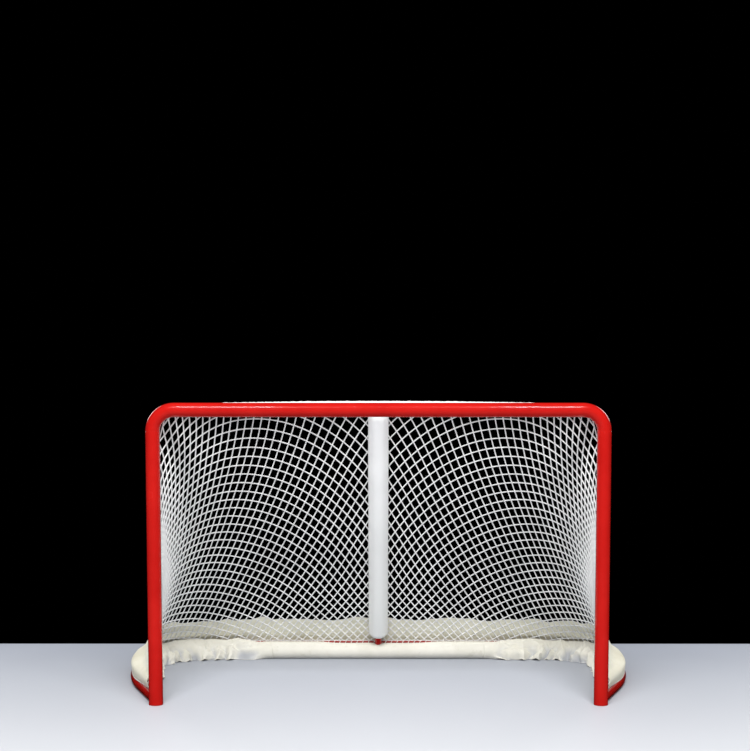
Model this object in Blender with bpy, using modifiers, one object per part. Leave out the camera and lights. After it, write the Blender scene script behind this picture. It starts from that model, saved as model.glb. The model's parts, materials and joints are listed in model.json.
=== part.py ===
"""Full-size ice hockey goal: a welded tube frame, a laced diamond net, pads and a canvas skirt.

Metres, +Z up. The mouth faces -Y and the ice is z = 0. Every piece is written in the goal's own
coordinates, where y = 0 is the plane through the axes of the two posts, and hangs from one empty
that puts the middle of the goal's footprint at the world's origin.
"""

import math

import bmesh
import bpy
import numpy as np
from mathutils import Matrix, Vector

# Mouth and main tubes
MOUTH_WIDTH = 1.83
MOUTH_HEIGHT = 1.22
POST_DIAMETER = 0.0603
POST_WALL = 0.0039
CORNER_BEND_RADIUS = 0.09
BEND_STUB = 0.008

# Base tube: leaves each post splayed outwards, bulges, runs straight back and turns in behind
BASE_DEPTH = 1.118
BASE_DIAMETER = 0.0422
BASE_WALL = 0.0036
BASE_SPLAY = math.radians(20)
BASE_SPLAY_DEPTH = 0.30
BASE_SIDE_STRAIGHT = 0.0334
BASE_REAR_RADIUS = 0.34

# Top shelf: one flat arc from corner to corner behind the crossbar
SHELF_DIAMETER = 0.0334
SHELF_WALL = 0.0034
SHELF_DEPTH = 0.525
SHELF_HALF_SPAN = 0.90
SHELF_SPLIT_ANGLE = math.radians(26)

CENTRE_POST_DIAMETER = 0.0334
CENTRE_POST_WALL = 0.0034

# Peg sockets in the feet of the posts
PEG_BORE = 0.039
PEG_SOCKET_LENGTH = 0.10

# Lacing rods and their stand-offs
ROD_DIAMETER = 0.008
ROD_REACH = 0.014
ROD_ANGLE = math.radians(20)
POST_ROD_BOTTOM = 0.14
POST_ROD_TOP = 1.10
CROSSBAR_ROD_HALF_LENGTH = 0.78
BASE_ROD_OFFSET = 0.0055
BASE_ROD_HEIGHT = 0.075
BASE_ROD_START = 0.075
BASE_ROD_STEP = 0.07
STANDOFF_SPACING = 0.26
LACING_DIAMETER = 0.005

# Net: the strand is cut as half a ring of diamonds round the middle of the crossbar
NET_STRAND = 0.006
NET_CELL_STEP = 4.0
NET_INNER_RING = 12.0
NET_OUTER_RING_BACK = 32.0
NET_OUTER_RING_SIDE = 29.0
NET_GATHER = 2.0
NET_SHELF_REACH = 0.0125
NET_FRONT_GAP = 0.055

# Pads
CENTRE_PAD_WIDTH = 0.095
CENTRE_PAD_FRONT = 0.046
CENTRE_PAD_FOOT_HEIGHT = 0.122
CENTRE_PAD_TOP_HEIGHT = 1.215
PAD_OPENING_ANGLE = math.radians(55)
PAD_LACING_DIAMETER = 0.003
PAD_LACING_LOW = 0.35
PAD_LACING_HIGH = 0.93
PAD_LACING_STEP = 0.058
ROLL_DIAMETER = 0.075
ROLL_INSET = 0.0187
ROLL_HALF_LENGTH = 0.575
COVER_HEIGHT = 0.088
COVER_REACH = 0.13
COVER_FOLD = 0.007
COVER_POST_GAP = 0.12

# Skirt
SKIRT_HEIGHT = 0.195
SKIRT_THICKNESS = 0.003
SKIRT_FOLD = 0.006
SKIRT_CLEARANCE = 0.003
SKIRT_HEM_ANGLE = math.radians(55)
SKIRT_FOLD_LENGTH = 0.16
SKIRT_POST_GAP = 0.10

# Clearance between pieces that rest on or are welded to each other
GAP = 0.0003

# Sizes that follow from the ones above
POST_RADIUS = POST_DIAMETER / 2
BASE_RADIUS = BASE_DIAMETER / 2
SHELF_RADIUS = SHELF_DIAMETER / 2
CENTRE_POST_RADIUS = CENTRE_POST_DIAMETER / 2
ROD_RADIUS = ROD_DIAMETER / 2
LACING_RADIUS = LACING_DIAMETER / 2
STRAND_HALF = NET_STRAND / 2
POST_X = MOUTH_WIDTH / 2 + POST_RADIUS
CROSSBAR_Z = MOUTH_HEIGHT + POST_RADIUS
REAR_Y = BASE_DEPTH - POST_RADIUS - BASE_RADIUS
FOOTPRINT_MIDDLE_Y = BASE_DEPTH / 2 - POST_RADIUS
SHELF_ARC_RADIUS = (SHELF_HALF_SPAN**2 + SHELF_DEPTH**2) / (2 * SHELF_DEPTH)
SHELF_CENTRE_Y = SHELF_DEPTH - SHELF_ARC_RADIUS
ROD_DISTANCE = POST_RADIUS + ROD_REACH
ROD_X = POST_X - ROD_DISTANCE * math.sin(ROD_ANGLE)
ROD_Y = ROD_DISTANCE * math.cos(ROD_ANGLE)
CROSSBAR_ROD_Z = CROSSBAR_Z + ROD_DISTANCE * math.sin(ROD_ANGLE)
NET_TOP_Z = CROSSBAR_Z + SHELF_RADIUS + GAP + STRAND_HALF
NET_BASE_Z = BASE_ROD_HEIGHT + ROD_RADIUS + GAP + STRAND_HALF
NET_POST_Y = ROD_Y + ROD_RADIUS + GAP + STRAND_HALF
NET_SHELF_OFFSET = SHELF_RADIUS + NET_SHELF_REACH
MAIN_SIDES = 20
BASE_SIDES = 16
ROD_SIDES = 6

RED_PAINT = ("red_paint", (0.60, 0.016, 0.012), 0.28, 0.0)
ROD_PAINT = ("rod_paint", (0.45, 0.012, 0.010), 0.35, 0.0)
SOCKET_STEEL = ("zinc_plate", (0.55, 0.55, 0.56), 0.4, 1.0)
NET_CORD = ("white_net_cord", (0.80, 0.80, 0.79), 0.7, 0.0)
LACE_CORD = ("white_lace", (0.74, 0.73, 0.70), 0.75, 0.0)
PAD_VINYL = ("white_vinyl", (0.82, 0.83, 0.85), 0.4, 0.0)
COVER_CANVAS = ("white_canvas", (0.78, 0.76, 0.68), 0.7, 0.0)

for old_object in list(bpy.data.objects):
    bpy.data.objects.remove(old_object, do_unlink=True)

goal = bpy.data.collections.new("ice_hockey_goal")
cutters = bpy.data.collections.new("cutters")
bpy.context.scene.collection.children.link(goal)
bpy.context.scene.collection.children.link(cutters)

origin = bpy.data.objects.new("goal_origin", None)
origin.location = (0, -FOOTPRINT_MIDDLE_Y, 0)
goal.objects.link(origin)


# Placing and finishing

def finished(name, finish):
    """A material of the piece's own, from a finish's colour, roughness and metallic value."""
    _, colour, roughness, metallic = finish
    material = bpy.data.materials.new(name + "_" + finish[0])
    material.use_nodes = True
    shader = material.node_tree.nodes["Principled BSDF"]
    shader.inputs["Base Color"].default_value = (*colour, 1)
    shader.inputs["Roughness"].default_value = roughness
    shader.inputs["Metallic"].default_value = metallic
    return material


def add_piece(name, data, finish, location=(0, 0, 0), rotation=(0, 0, 0)):
    """Put a mesh or curve into the goal, hung from the goal's origin."""
    piece = bpy.data.objects.new(name, data)
    piece.location = location
    piece.rotation_euler = rotation
    piece.parent = origin
    goal.objects.link(piece)
    data.materials.append(finished(name, finish))
    return piece


def make_cutter(piece):
    """Move a piece to the cutters, where it is only a tool for another piece's shape."""
    goal.objects.unlink(piece)
    cutters.objects.link(piece)
    piece.hide_render = True
    piece.display_type = "WIRE"
    return piece


def cut(piece, cutter):
    """Cut one piece by another."""
    modifier = piece.modifiers.new("cut_" + cutter.name, "BOOLEAN")
    modifier.operation = "DIFFERENCE"
    modifier.object = cutter


def mirrored(points, side):
    """Points of the right half, on the right (side 1) or the left (side -1)."""
    return [Vector((side * p[0], p[1], p[2])) for p in points]


def smooth(mesh):
    """Shade a round mesh smooth, with its edges kept sharp."""
    mesh.shade_smooth()
    mesh.set_sharp_from_angle(angle=math.radians(35))


# Tubes, rods and cords

def straight_pipe(name, radius, wall, length, finish, sides, location, rotation=(0, 0, 0)):
    """An open-ended pipe along its own +Z, turned from the cut-out of its wall."""
    mesh = bpy.data.meshes.new(name)
    inner = radius - wall
    wall_section = [(radius, 0, length), (radius, 0, 0), (inner, 0, 0), (inner, 0, length)]
    mesh.from_pydata(wall_section, [(0, 1), (1, 2), (2, 3), (3, 0)], [])
    pipe = add_piece(name, mesh, finish, location, rotation)
    turn = pipe.modifiers.new("turn", "SCREW")
    turn.axis = "Z"
    turn.steps = sides
    turn.render_steps = sides
    turn.use_merge_vertices = True
    turn.merge_threshold = 0.00005
    return pipe


def arc_handle(radius, angle):
    """Length of the handles that make a curve segment follow an arc."""
    return 4 / 3 * math.tan(abs(angle) / 4) * radius


def knot(point, before=None, after=None):
    """One knot of a bent tube: before and after are the ends of its handles, None on a straight."""
    return Vector(point), before, after


def with_stubs(knots):
    """A bend with a short straight beyond each end, so that the tube's ends are cut square."""
    first, before, after_first = knots[0]
    last, before_last, after = knots[-1]
    start = first + (before - first).normalized() * BEND_STUB
    end = last + (after - last).normalized() * BEND_STUB
    middle = [knot(first, None, after_first)] + knots[1:-1] + [knot(last, before_last, None)]
    return [knot(start)] + middle + [knot(end)]


def bent_curve(name, knots, radius, sides, steps, caps):
    """A round curve through knots, straight between two knots whose facing handles are None."""
    curve = bpy.data.curves.new(name, "CURVE")
    curve.dimensions = "3D"
    curve.bevel_depth = radius
    curve.bevel_resolution = (sides - 4) // 2
    curve.resolution_u = steps
    curve.render_resolution_u = steps
    curve.use_fill_caps = caps
    spline = curve.splines.new("BEZIER")
    spline.bezier_points.add(len(knots) - 1)
    for bezier, (point, before, after) in zip(spline.bezier_points, knots):
        bezier.co = point
        bezier.handle_left_type = "VECTOR" if before is None else "FREE"
        bezier.handle_right_type = "VECTOR" if after is None else "FREE"
        if before is not None:
            bezier.handle_left = before
        if after is not None:
            bezier.handle_right = after
    return curve


def as_mesh(piece):
    """Make a curve piece a mesh piece of the same name, place and material."""
    bpy.context.view_layer.update()
    evaluated = piece.evaluated_get(bpy.context.evaluated_depsgraph_get())
    mesh = bpy.data.meshes.new_from_object(evaluated)
    shape = bmesh.new()
    shape.from_mesh(mesh)
    bmesh.ops.remove_doubles(shape, verts=shape.verts, dist=0.00001)
    shape.to_mesh(mesh)
    shape.free()
    name = piece.name
    bpy.data.objects.remove(piece, do_unlink=True)
    solid = bpy.data.objects.new(name, mesh)
    solid.parent = origin
    goal.objects.link(solid)
    return solid


def bent_pipe(name, knots, radius, wall, finish, sides, steps):
    """A bent open-ended pipe, with its wall inside the curve's skin."""
    curve = bent_curve(name, knots, radius, sides, steps, caps=False)
    pipe = as_mesh(add_piece(name, curve, finish))
    thickness = pipe.modifiers.new("wall", "SOLIDIFY")
    thickness.thickness = wall
    thickness.offset = -1
    return pipe


def round_cutter(name, knots, radius, sides, steps):
    """A solid bent bar that leaves the clearance round a tube when it cuts another."""
    curve = bent_curve(name, knots, radius + GAP, sides, steps, caps=True)
    return make_cutter(as_mesh(add_piece(name, curve, RED_PAINT)))


def poly_tube(name, runs, radius, sides, finish):
    """Round solid bars through runs of points, one closed body for each run."""
    curve = bpy.data.curves.new(name, "CURVE")
    curve.dimensions = "3D"
    curve.bevel_depth = radius
    curve.bevel_resolution = (sides - 4) // 2
    curve.use_fill_caps = True
    for run in runs:
        spline = curve.splines.new("POLY")
        spline.points.add(len(run) - 1)
        for target, point in zip(spline.points, run):
            target.co = (*point, 1)
    return add_piece(name, curve, finish)


def loft(name, sections, finish):
    """A closed body through sections of the same count of points, each a closed outline."""
    shape = bmesh.new()
    rings = [[shape.verts.new(point) for point in section] for section in sections]
    count = len(rings[0])
    for near, far in zip(rings, rings[1:]):
        for k in range(count):
            after = (k + 1) % count
            shape.faces.new((near[k], near[after], far[after], far[k]))
    shape.faces.new(rings[0])
    shape.faces.new(reversed(rings[-1]))
    bmesh.ops.recalc_face_normals(shape, faces=shape.faces)
    mesh = bpy.data.meshes.new(name)
    shape.to_mesh(mesh)
    shape.free()
    smooth(mesh)
    return add_piece(name, mesh, finish)


# Plan of the base tube, from the middle of the back (s = 0) round to the right post

REAR_CENTRE_Y = REAR_Y - BASE_REAR_RADIUS
SIDE_END_Y = REAR_CENTRE_Y - BASE_SIDE_STRAIGHT
BASE_SIDE_RADIUS = (SIDE_END_Y - BASE_SPLAY_DEPTH) / math.sin(BASE_SPLAY)
SPLAY_END_X = POST_X + BASE_SPLAY_DEPTH * math.tan(BASE_SPLAY)
SIDE_CENTRE_X = SPLAY_END_X - BASE_SIDE_RADIUS * math.cos(BASE_SPLAY)
SIDE_END_X = SIDE_CENTRE_X + BASE_SIDE_RADIUS
REAR_CENTRE_X = SIDE_END_X - BASE_REAR_RADIUS
REAR_RUN = REAR_CENTRE_X
REAR_ARC = BASE_REAR_RADIUS * math.pi / 2
SIDE_RUN = BASE_SIDE_STRAIGHT
SIDE_ARC = BASE_SIDE_RADIUS * BASE_SPLAY
SPLAY_RUN = BASE_SPLAY_DEPTH / math.cos(BASE_SPLAY)
BASE_LENGTH = REAR_RUN + REAR_ARC + SIDE_RUN + SIDE_ARC + SPLAY_RUN


def base_plan(s, offset=0.0):
    """Point of the base tube's axis at arc length s from the middle of the back, moved outwards."""
    if s < REAR_RUN:
        return s, REAR_Y + offset
    s -= REAR_RUN
    if s < REAR_ARC:
        angle = s / BASE_REAR_RADIUS
        reach = BASE_REAR_RADIUS + offset
        return REAR_CENTRE_X + reach * math.sin(angle), REAR_CENTRE_Y + reach * math.cos(angle)
    s -= REAR_ARC
    if s < SIDE_RUN:
        return SIDE_END_X + offset, REAR_CENTRE_Y - s
    s -= SIDE_RUN
    if s < SIDE_ARC:
        angle = s / BASE_SIDE_RADIUS
        reach = BASE_SIDE_RADIUS + offset
        return SIDE_CENTRE_X + reach * math.cos(angle), SIDE_END_Y - reach * math.sin(angle)
    s -= SIDE_ARC
    out_x, out_y = math.cos(BASE_SPLAY), -math.sin(BASE_SPLAY)
    x = SPLAY_END_X - s * math.sin(BASE_SPLAY) + offset * out_x
    y = BASE_SPLAY_DEPTH - s * math.cos(BASE_SPLAY) + offset * out_y
    return x, y


def shelf_plan(angle, offset=0.0):
    """Point of the shelf's arc at an angle from the middle of the back, moved outwards."""
    reach = SHELF_ARC_RADIUS + offset
    return reach * math.sin(angle), SHELF_CENTRE_Y + reach * math.cos(angle)


def shelf_tangent(angle):
    """Unit direction along the shelf's arc, away from the middle."""
    return Vector((math.cos(angle), -math.sin(angle), 0))


# Frame

def build_posts():
    """Upright pipes with a peg socket pressed into each foot."""
    top = CROSSBAR_Z - CORNER_BEND_RADIUS - BEND_STUB - GAP
    bore = POST_RADIUS - POST_WALL
    socket_radius = bore - GAP
    for side, hand in ((-1, "left"), (1, "right")):
        foot = (side * POST_X, 0, 0)
        straight_pipe(hand + "_post", POST_RADIUS, POST_WALL, top, RED_PAINT, MAIN_SIDES, foot)
        socket_wall = socket_radius - PEG_BORE / 2
        straight_pipe(
            hand + "_peg_socket", socket_radius, socket_wall, PEG_SOCKET_LENGTH,
            SOCKET_STEEL, MAIN_SIDES, (side * POST_X, 0, GAP),
        )


def elbow_knots(side):
    """Quarter bend from the top of a post to the end of the crossbar."""
    handle = arc_handle(CORNER_BEND_RADIUS, math.pi / 2)
    low = Vector((side * POST_X, 0, CROSSBAR_Z - CORNER_BEND_RADIUS))
    high = Vector((side * (POST_X - CORNER_BEND_RADIUS), 0, CROSSBAR_Z))
    rise = Vector((0, 0, handle))
    run = Vector((side * handle, 0, 0))
    bend = [knot(low, low - rise, low + rise), knot(high, high + run, high - run)]
    return with_stubs(bend)


def build_crossbar():
    """Crossbar pipe and the two bent corners."""
    half = POST_X - CORNER_BEND_RADIUS - BEND_STUB - GAP
    straight_pipe(
        "crossbar", POST_RADIUS, POST_WALL, 2 * half, RED_PAINT, MAIN_SIDES,
        (-half, 0, CROSSBAR_Z), (0, math.pi / 2, 0),
    )
    for side, hand in ((-1, "left"), (1, "right")):
        bent_pipe(
            hand + "_corner_elbow", elbow_knots(side), POST_RADIUS, POST_WALL,
            RED_PAINT, MAIN_SIDES, 5,
        )


def build_base():
    """Base tube in five pieces: two splayed sides, two rear bends and the rear rail."""
    half = REAR_RUN - BEND_STUB - GAP
    straight_pipe(
        "rear_rail", BASE_RADIUS, BASE_WALL, 2 * half, RED_PAINT, BASE_SIDES,
        (-half, REAR_Y, BASE_RADIUS), (0, math.pi / 2, 0),
    )
    rear_handle = arc_handle(BASE_REAR_RADIUS, math.pi / 2)
    side_handle = arc_handle(BASE_SIDE_RADIUS, BASE_SPLAY)
    splay = Vector((math.sin(BASE_SPLAY), math.cos(BASE_SPLAY), 0))
    z = BASE_RADIUS
    for side, hand in ((-1, "left"), (1, "right")):
        rear = Vector((REAR_CENTRE_X, REAR_Y, z))
        turn = Vector((SIDE_END_X, REAR_CENTRE_Y, z))
        side_end = Vector((SIDE_END_X, SIDE_END_Y, z))
        splay_end = Vector((SPLAY_END_X, BASE_SPLAY_DEPTH, z))
        post = Vector((POST_X, 0, z))
        mirror = Matrix.Scale(side, 4, (1, 0, 0))
        bend = [
            knot(rear, rear - Vector((rear_handle, 0, 0)), rear + Vector((rear_handle, 0, 0))),
            knot(turn, turn + Vector((0, rear_handle, 0)), turn - Vector((0, rear_handle, 0))),
        ]
        rail = [
            knot(turn - Vector((0, BEND_STUB + GAP, 0))),
            knot(side_end, None, side_end - Vector((0, side_handle, 0))),
            knot(splay_end, splay_end + splay * side_handle, None),
            knot(post),
        ]
        bent_pipe(
            hand + "_rear_bend", with_stubs(mirror_knots(bend, mirror)), BASE_RADIUS, BASE_WALL,
            RED_PAINT, BASE_SIDES, 6,
        )
        side_rail = bent_pipe(
            hand + "_side_rail", mirror_knots(rail, mirror), BASE_RADIUS, BASE_WALL,
            RED_PAINT, BASE_SIDES, 6,
        )
        foot = Vector((side * POST_X, 0, -POST_RADIUS))
        head = Vector((side * POST_X, 0, CROSSBAR_Z / 2))
        post_space = round_cutter(
            hand + "_post_space", [knot(foot), knot(head)], POST_RADIUS, MAIN_SIDES, 1,
        )
        cut(side_rail, post_space)
        inner_end = rear - Vector((REAR_CENTRE_X - ROLL_HALF_LENGTH / 2, 0, 0))
        whole = [knot(inner_end), knot(rear, None, bend[0][2]), knot(turn, bend[1][1])] + rail[1:]
        round_cutter(
            hand + "_base_space", mirror_knots(whole, mirror), BASE_RADIUS, BASE_SIDES, 6,
        )


def mirror_knots(knots, mirror):
    """Knots and handles moved to the other side."""
    moved = []
    for point, before, after in knots:
        moved.append((
            mirror @ point,
            None if before is None else mirror @ before,
            None if after is None else mirror @ after,
        ))
    return moved


def shelf_knots(start, end):
    """Knots of the shelf's arc between two angles from the middle of the back."""
    handle = arc_handle(SHELF_ARC_RADIUS, end - start)
    knots = []
    for angle in (start, end):
        point = Vector((*shelf_plan(angle), CROSSBAR_Z))
        along = shelf_tangent(angle) * handle * (1 if end > start else -1)
        knots.append(knot(point, point - along, point + along))
    return with_stubs(knots)


def build_shelf():
    """Top shelf: the middle bar and an arm to each corner, cut to fit the corner's bend."""
    joint = (2 * BEND_STUB + GAP) / SHELF_ARC_RADIUS
    split = SHELF_SPLIT_ANGLE
    bent_pipe(
        "rear_shelf_bar", shelf_knots(-split, split), SHELF_RADIUS, SHELF_WALL,
        RED_PAINT, BASE_SIDES, 6,
    )
    reach = math.acos((POST_RADIUS / 2 - SHELF_CENTRE_Y) / SHELF_ARC_RADIUS)
    for side, hand in ((-1, "left"), (1, "right")):
        arm = bent_pipe(
            hand + "_shelf_arm", shelf_knots(side * (split + joint), side * reach),
            SHELF_RADIUS, SHELF_WALL, RED_PAINT, BASE_SIDES, 4,
        )
        elbow_space = round_cutter(
            hand + "_elbow_space", elbow_knots(side), POST_RADIUS, MAIN_SIDES, 5,
        )
        cut(arm, elbow_space)


def centre_axis(z):
    """Point of the centre post's axis at a height."""
    share = (CROSSBAR_Z - z) / (CROSSBAR_Z - BASE_RADIUS)
    return Vector((0, SHELF_DEPTH + share * (REAR_Y - SHELF_DEPTH), z))


def build_centre_post():
    """Sloping pipe from the shelf to the rear rail, cut to fit both."""
    low = centre_axis(BASE_RADIUS)
    high = centre_axis(CROSSBAR_Z)
    slope = (high - low).to_track_quat("Z", "Y").to_euler()
    post = straight_pipe(
        "centre_post", CENTRE_POST_RADIUS, CENTRE_POST_WALL, (high - low).length,
        RED_PAINT, BASE_SIDES, low, slope,
    )
    split = SHELF_SPLIT_ANGLE
    shelf_space = round_cutter(
        "shelf_space", shelf_knots(-split, split), SHELF_RADIUS, BASE_SIDES, 6,
    )
    left_end = Vector((-ROLL_DIAMETER, REAR_Y, BASE_RADIUS))
    right_end = Vector((ROLL_DIAMETER, REAR_Y, BASE_RADIUS))
    rail_space = round_cutter(
        "rail_space", [knot(left_end), knot(right_end)], BASE_RADIUS, BASE_SIDES, 1,
    )
    cut(post, shelf_space)
    cut(post, rail_space)


# Lacing rods

def spread(start, end, spacing):
    """Evenly spread places from start to end, both included, no further apart than the spacing."""
    count = max(2, math.ceil(abs(end - start) / spacing) + 1)
    return [start + (end - start) * k / (count - 1) for k in range(count)]


def add_rod(name, run, standoffs):
    """A round bar with its stand-offs joined on as one body."""
    rod = as_mesh(poly_tube(name, [run], ROD_RADIUS, ROD_SIDES, ROD_PAINT))
    stubs = as_mesh(poly_tube(name + "_standoffs", standoffs, ROD_RADIUS * 0.9, ROD_SIDES, ROD_PAINT))
    weld = rod.modifiers.new("weld_standoffs", "BOOLEAN")
    weld.operation = "UNION"
    weld.object = make_cutter(stubs)


def build_post_rods():
    """A rod behind each post, on stand-offs that point away from the post's axis."""
    inset = STANDOFF_SPACING / 8
    for side, hand in ((-1, "left"), (1, "right")):
        rod = mirrored([(ROD_X, ROD_Y, POST_ROD_BOTTOM), (ROD_X, ROD_Y, POST_ROD_TOP)], side)
        standoffs = []
        for z in spread(POST_ROD_BOTTOM + inset, POST_ROD_TOP - inset, STANDOFF_SPACING):
            ends = []
            for reach in (POST_RADIUS + GAP, ROD_DISTANCE):
                x = POST_X - reach * math.sin(ROD_ANGLE)
                ends.append((x, reach * math.cos(ROD_ANGLE), z))
            standoffs.append(mirrored(ends, side))
        add_rod(hand + "_post_lacing_rod", rod, standoffs)


def build_crossbar_rod():
    """A rod behind the crossbar, a little above its axis."""
    half = CROSSBAR_ROD_HALF_LENGTH
    rod = [(-half, ROD_Y, CROSSBAR_ROD_Z), (half, ROD_Y, CROSSBAR_ROD_Z)]
    inset = STANDOFF_SPACING / 8
    standoffs = []
    for x in spread(-half + inset, half - inset, STANDOFF_SPACING):
        ends = []
        for reach in (POST_RADIUS + GAP, ROD_DISTANCE):
            z = CROSSBAR_Z + reach * math.sin(ROD_ANGLE)
            ends.append((x, reach * math.cos(ROD_ANGLE), z))
        standoffs.append(ends)
    add_rod("crossbar_lacing_rod", rod, standoffs)


SIDE_ROD_PLACES = spread(REAR_RUN + GAP, BASE_LENGTH - BASE_ROD_START, BASE_ROD_STEP)


def base_run(places, offset, z):
    """Points along the base tube's plan at some arc lengths, at a height."""
    return [(*base_plan(s, offset), z) for s in places]


def base_standoffs(places):
    """Short uprights between the base tube and the rod above it."""
    inner_edge = BASE_ROD_OFFSET - ROD_RADIUS
    foot = BASE_RADIUS + math.sqrt(BASE_RADIUS**2 - inner_edge**2) + GAP
    runs = []
    for s in places:
        x, y = base_plan(s, BASE_ROD_OFFSET)
        runs.append([(x, y, foot), (x, y, BASE_ROD_HEIGHT)])
    return runs


def build_base_rods():
    """Rods above the base tube: one along the back and one round each side."""
    rear_end = REAR_RUN - GAP
    inset = STANDOFF_SPACING / 8
    rear = [(-rear_end, REAR_Y + BASE_ROD_OFFSET, BASE_ROD_HEIGHT)]
    rear.append((rear_end, REAR_Y + BASE_ROD_OFFSET, BASE_ROD_HEIGHT))
    uprights = base_standoffs(spread(inset, rear_end - inset, STANDOFF_SPACING))
    both = uprights + [mirrored(run, -1) for run in uprights]
    add_rod("rear_base_lacing_rod", rear, both)
    rod = base_run(SIDE_ROD_PLACES, BASE_ROD_OFFSET, BASE_ROD_HEIGHT)
    uprights = base_standoffs(SIDE_ROD_PLACES[1::4])
    for side, hand in ((-1, "left"), (1, "right")):
        standoffs = [mirrored(run, side) for run in uprights]
        add_rod(hand + "_base_lacing_rod", mirrored(rod, side), standoffs)


# Net

NET_SHELF_END = math.acos((NET_FRONT_GAP - SHELF_CENTRE_Y) / (SHELF_ARC_RADIUS + NET_SHELF_OFFSET))
NET_BASE_END = BASE_LENGTH - BASE_ROD_START
SHEET_TURNS = 18
SHEET_RINGS = 14


def shelf_edge(turn):
    """Net's edge along the shelf, turn 0 at the middle of the back and 1 at the post."""
    x, y = shelf_plan(NET_SHELF_END * turn, NET_SHELF_OFFSET)
    return x, y, CROSSBAR_Z


def base_edge(turn):
    """Net's edge along the rod above the base tube."""
    return (*base_plan(NET_BASE_END * turn, BASE_ROD_OFFSET), NET_BASE_Z)


def post_edge(fall):
    """Net's edge down the post's rod, fall 0 at the shelf and 1 at the base."""
    corners = [
        Vector(shelf_edge(1)),
        Vector((ROD_X, NET_POST_Y, POST_ROD_TOP)),
        Vector((ROD_X, NET_POST_Y, POST_ROD_BOTTOM)),
        Vector(base_edge(1)),
    ]
    lengths = [0.0]
    for near, far in zip(corners, corners[1:]):
        lengths.append(lengths[-1] + (far - near).length)
    place = fall * lengths[-1]
    return [float(np.interp(place, lengths, [c[axis] for c in corners])) for axis in range(3)]


def relaxed_sheet():
    """Shape of the stretched net's right half, as a grid of turns by rings.

    Its four edges are held by the lacing, and inside them every knot rests where its strands pull
    evenly, so the sheet meets Laplace's equation in the plane that the net was cut in. NET_GATHER
    is how much harder the strands pull round the goal than down it.
    """
    turns = np.linspace(0, 1, SHEET_TURNS)
    falls = np.linspace(0, 1, SHEET_RINGS)
    sheet = np.zeros((SHEET_TURNS, SHEET_RINGS, 3))
    top_middle = np.array(shelf_edge(0))
    base_middle = np.array(base_edge(0))
    for i, turn in enumerate(turns):
        sheet[i, 0] = shelf_edge(turn)
        sheet[i, -1] = base_edge(turn)
        for j, fall in enumerate(falls):
            sheet[i, j] = sheet[i, 0] + (sheet[i, -1] - sheet[i, 0]) * fall
    for j, fall in enumerate(falls):
        sheet[0, j] = top_middle + (base_middle - top_middle) * fall
        sheet[-1, j] = post_edge(fall)
    outer = (NET_OUTER_RING_BACK + NET_OUTER_RING_SIDE) / 2
    radii = NET_INNER_RING + (outer - NET_INNER_RING) * falls
    ring_step = radii[1] - radii[0]
    turn_step = (turns[1] - turns[0]) * math.pi / 2
    radius = radii[1:-1].reshape(1, -1, 1)
    across = NET_GATHER / (radius * turn_step) ** 2
    along = 1 / ring_step**2
    slope = 1 / (2 * radius * ring_step)
    for _ in range(1500):
        inner = sheet[1:-1, 2:] * (along + slope) + sheet[1:-1, :-2] * (along - slope)
        inner = inner + (sheet[2:, 1:-1] + sheet[:-2, 1:-1]) * across
        sheet[1:-1, 1:-1] = inner / (2 * along + 2 * across)
    return sheet


SHEET = relaxed_sheet()


def sheet_point(turn, fall):
    """Point of the stretched net, between the knots of its grid."""
    i = min(max(turn, 0.0), 1.0) * (SHEET_TURNS - 1)
    j = min(max(fall, 0.0), 1.0) * (SHEET_RINGS - 1)
    i0 = min(int(i), SHEET_TURNS - 2)
    j0 = min(int(j), SHEET_RINGS - 2)
    a, b = i - i0, j - j0
    near = SHEET[i0, j0] * (1 - b) + SHEET[i0, j0 + 1] * b
    far = SHEET[i0 + 1, j0] * (1 - b) + SHEET[i0 + 1, j0 + 1] * b
    return near * (1 - a) + far * a


def cut_place(h, w):
    """Turn and fall of a point of the flat-cut net, h diamonds aside and w diamonds back."""
    turn = math.atan2(h, w) / (math.pi / 2)
    outer = NET_OUTER_RING_BACK + (NET_OUTER_RING_SIDE - NET_OUTER_RING_BACK) * turn
    return turn, (math.hypot(h, w) - NET_INNER_RING) / (outer - NET_INNER_RING)


def trim(shape, level, snap):
    """Keep the part of a flat mesh where level is positive, and draw near points onto its line."""
    step = 0.001
    on_line = set()
    for vert in shape.verts:
        x, y = vert.co.x, vert.co.y
        value = level(x, y)
        slope_x = (level(x + step, y) - value) / step
        slope_y = (level(x, y + step) - value) / step
        steepness = math.hypot(slope_x, slope_y)
        if steepness > 0 and abs(value) < snap * steepness:
            vert.co.x -= value * slope_x / steepness**2
            vert.co.y -= value * slope_y / steepness**2
            on_line.add(vert)
    crossing = []
    for edge in shape.edges:
        first, second = edge.verts
        if first in on_line or second in on_line:
            continue
        a = level(first.co.x, first.co.y)
        b = level(second.co.x, second.co.y)
        if a * b < 0:
            crossing.append((edge, first, a / (a - b)))
    for edge, first, share in crossing:
        _, vert = bmesh.utils.edge_split(edge, first, share)
        on_line.add(vert)
    bmesh.ops.connect_verts(shape, verts=list(on_line))
    outside = []
    for face in shape.faces:
        middle = face.calc_center_median()
        if level(middle.x, middle.y) < 0:
            outside.append(face)
    bmesh.ops.delete(shape, geom=outside, context="FACES")


def flat_netting(half_size):
    """Square netting laid on its corner, as it is cut: strands at 45 degrees to h and w."""
    side = NET_CELL_STEP / math.sqrt(2)
    count = 2 * math.ceil(half_size / side)
    shape = bmesh.new()
    turn = Matrix.Rotation(math.radians(45), 4, "Z")
    bmesh.ops.create_grid(
        shape, x_segments=count, y_segments=count, size=side * count / 2, matrix=turn,
    )
    return shape


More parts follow.
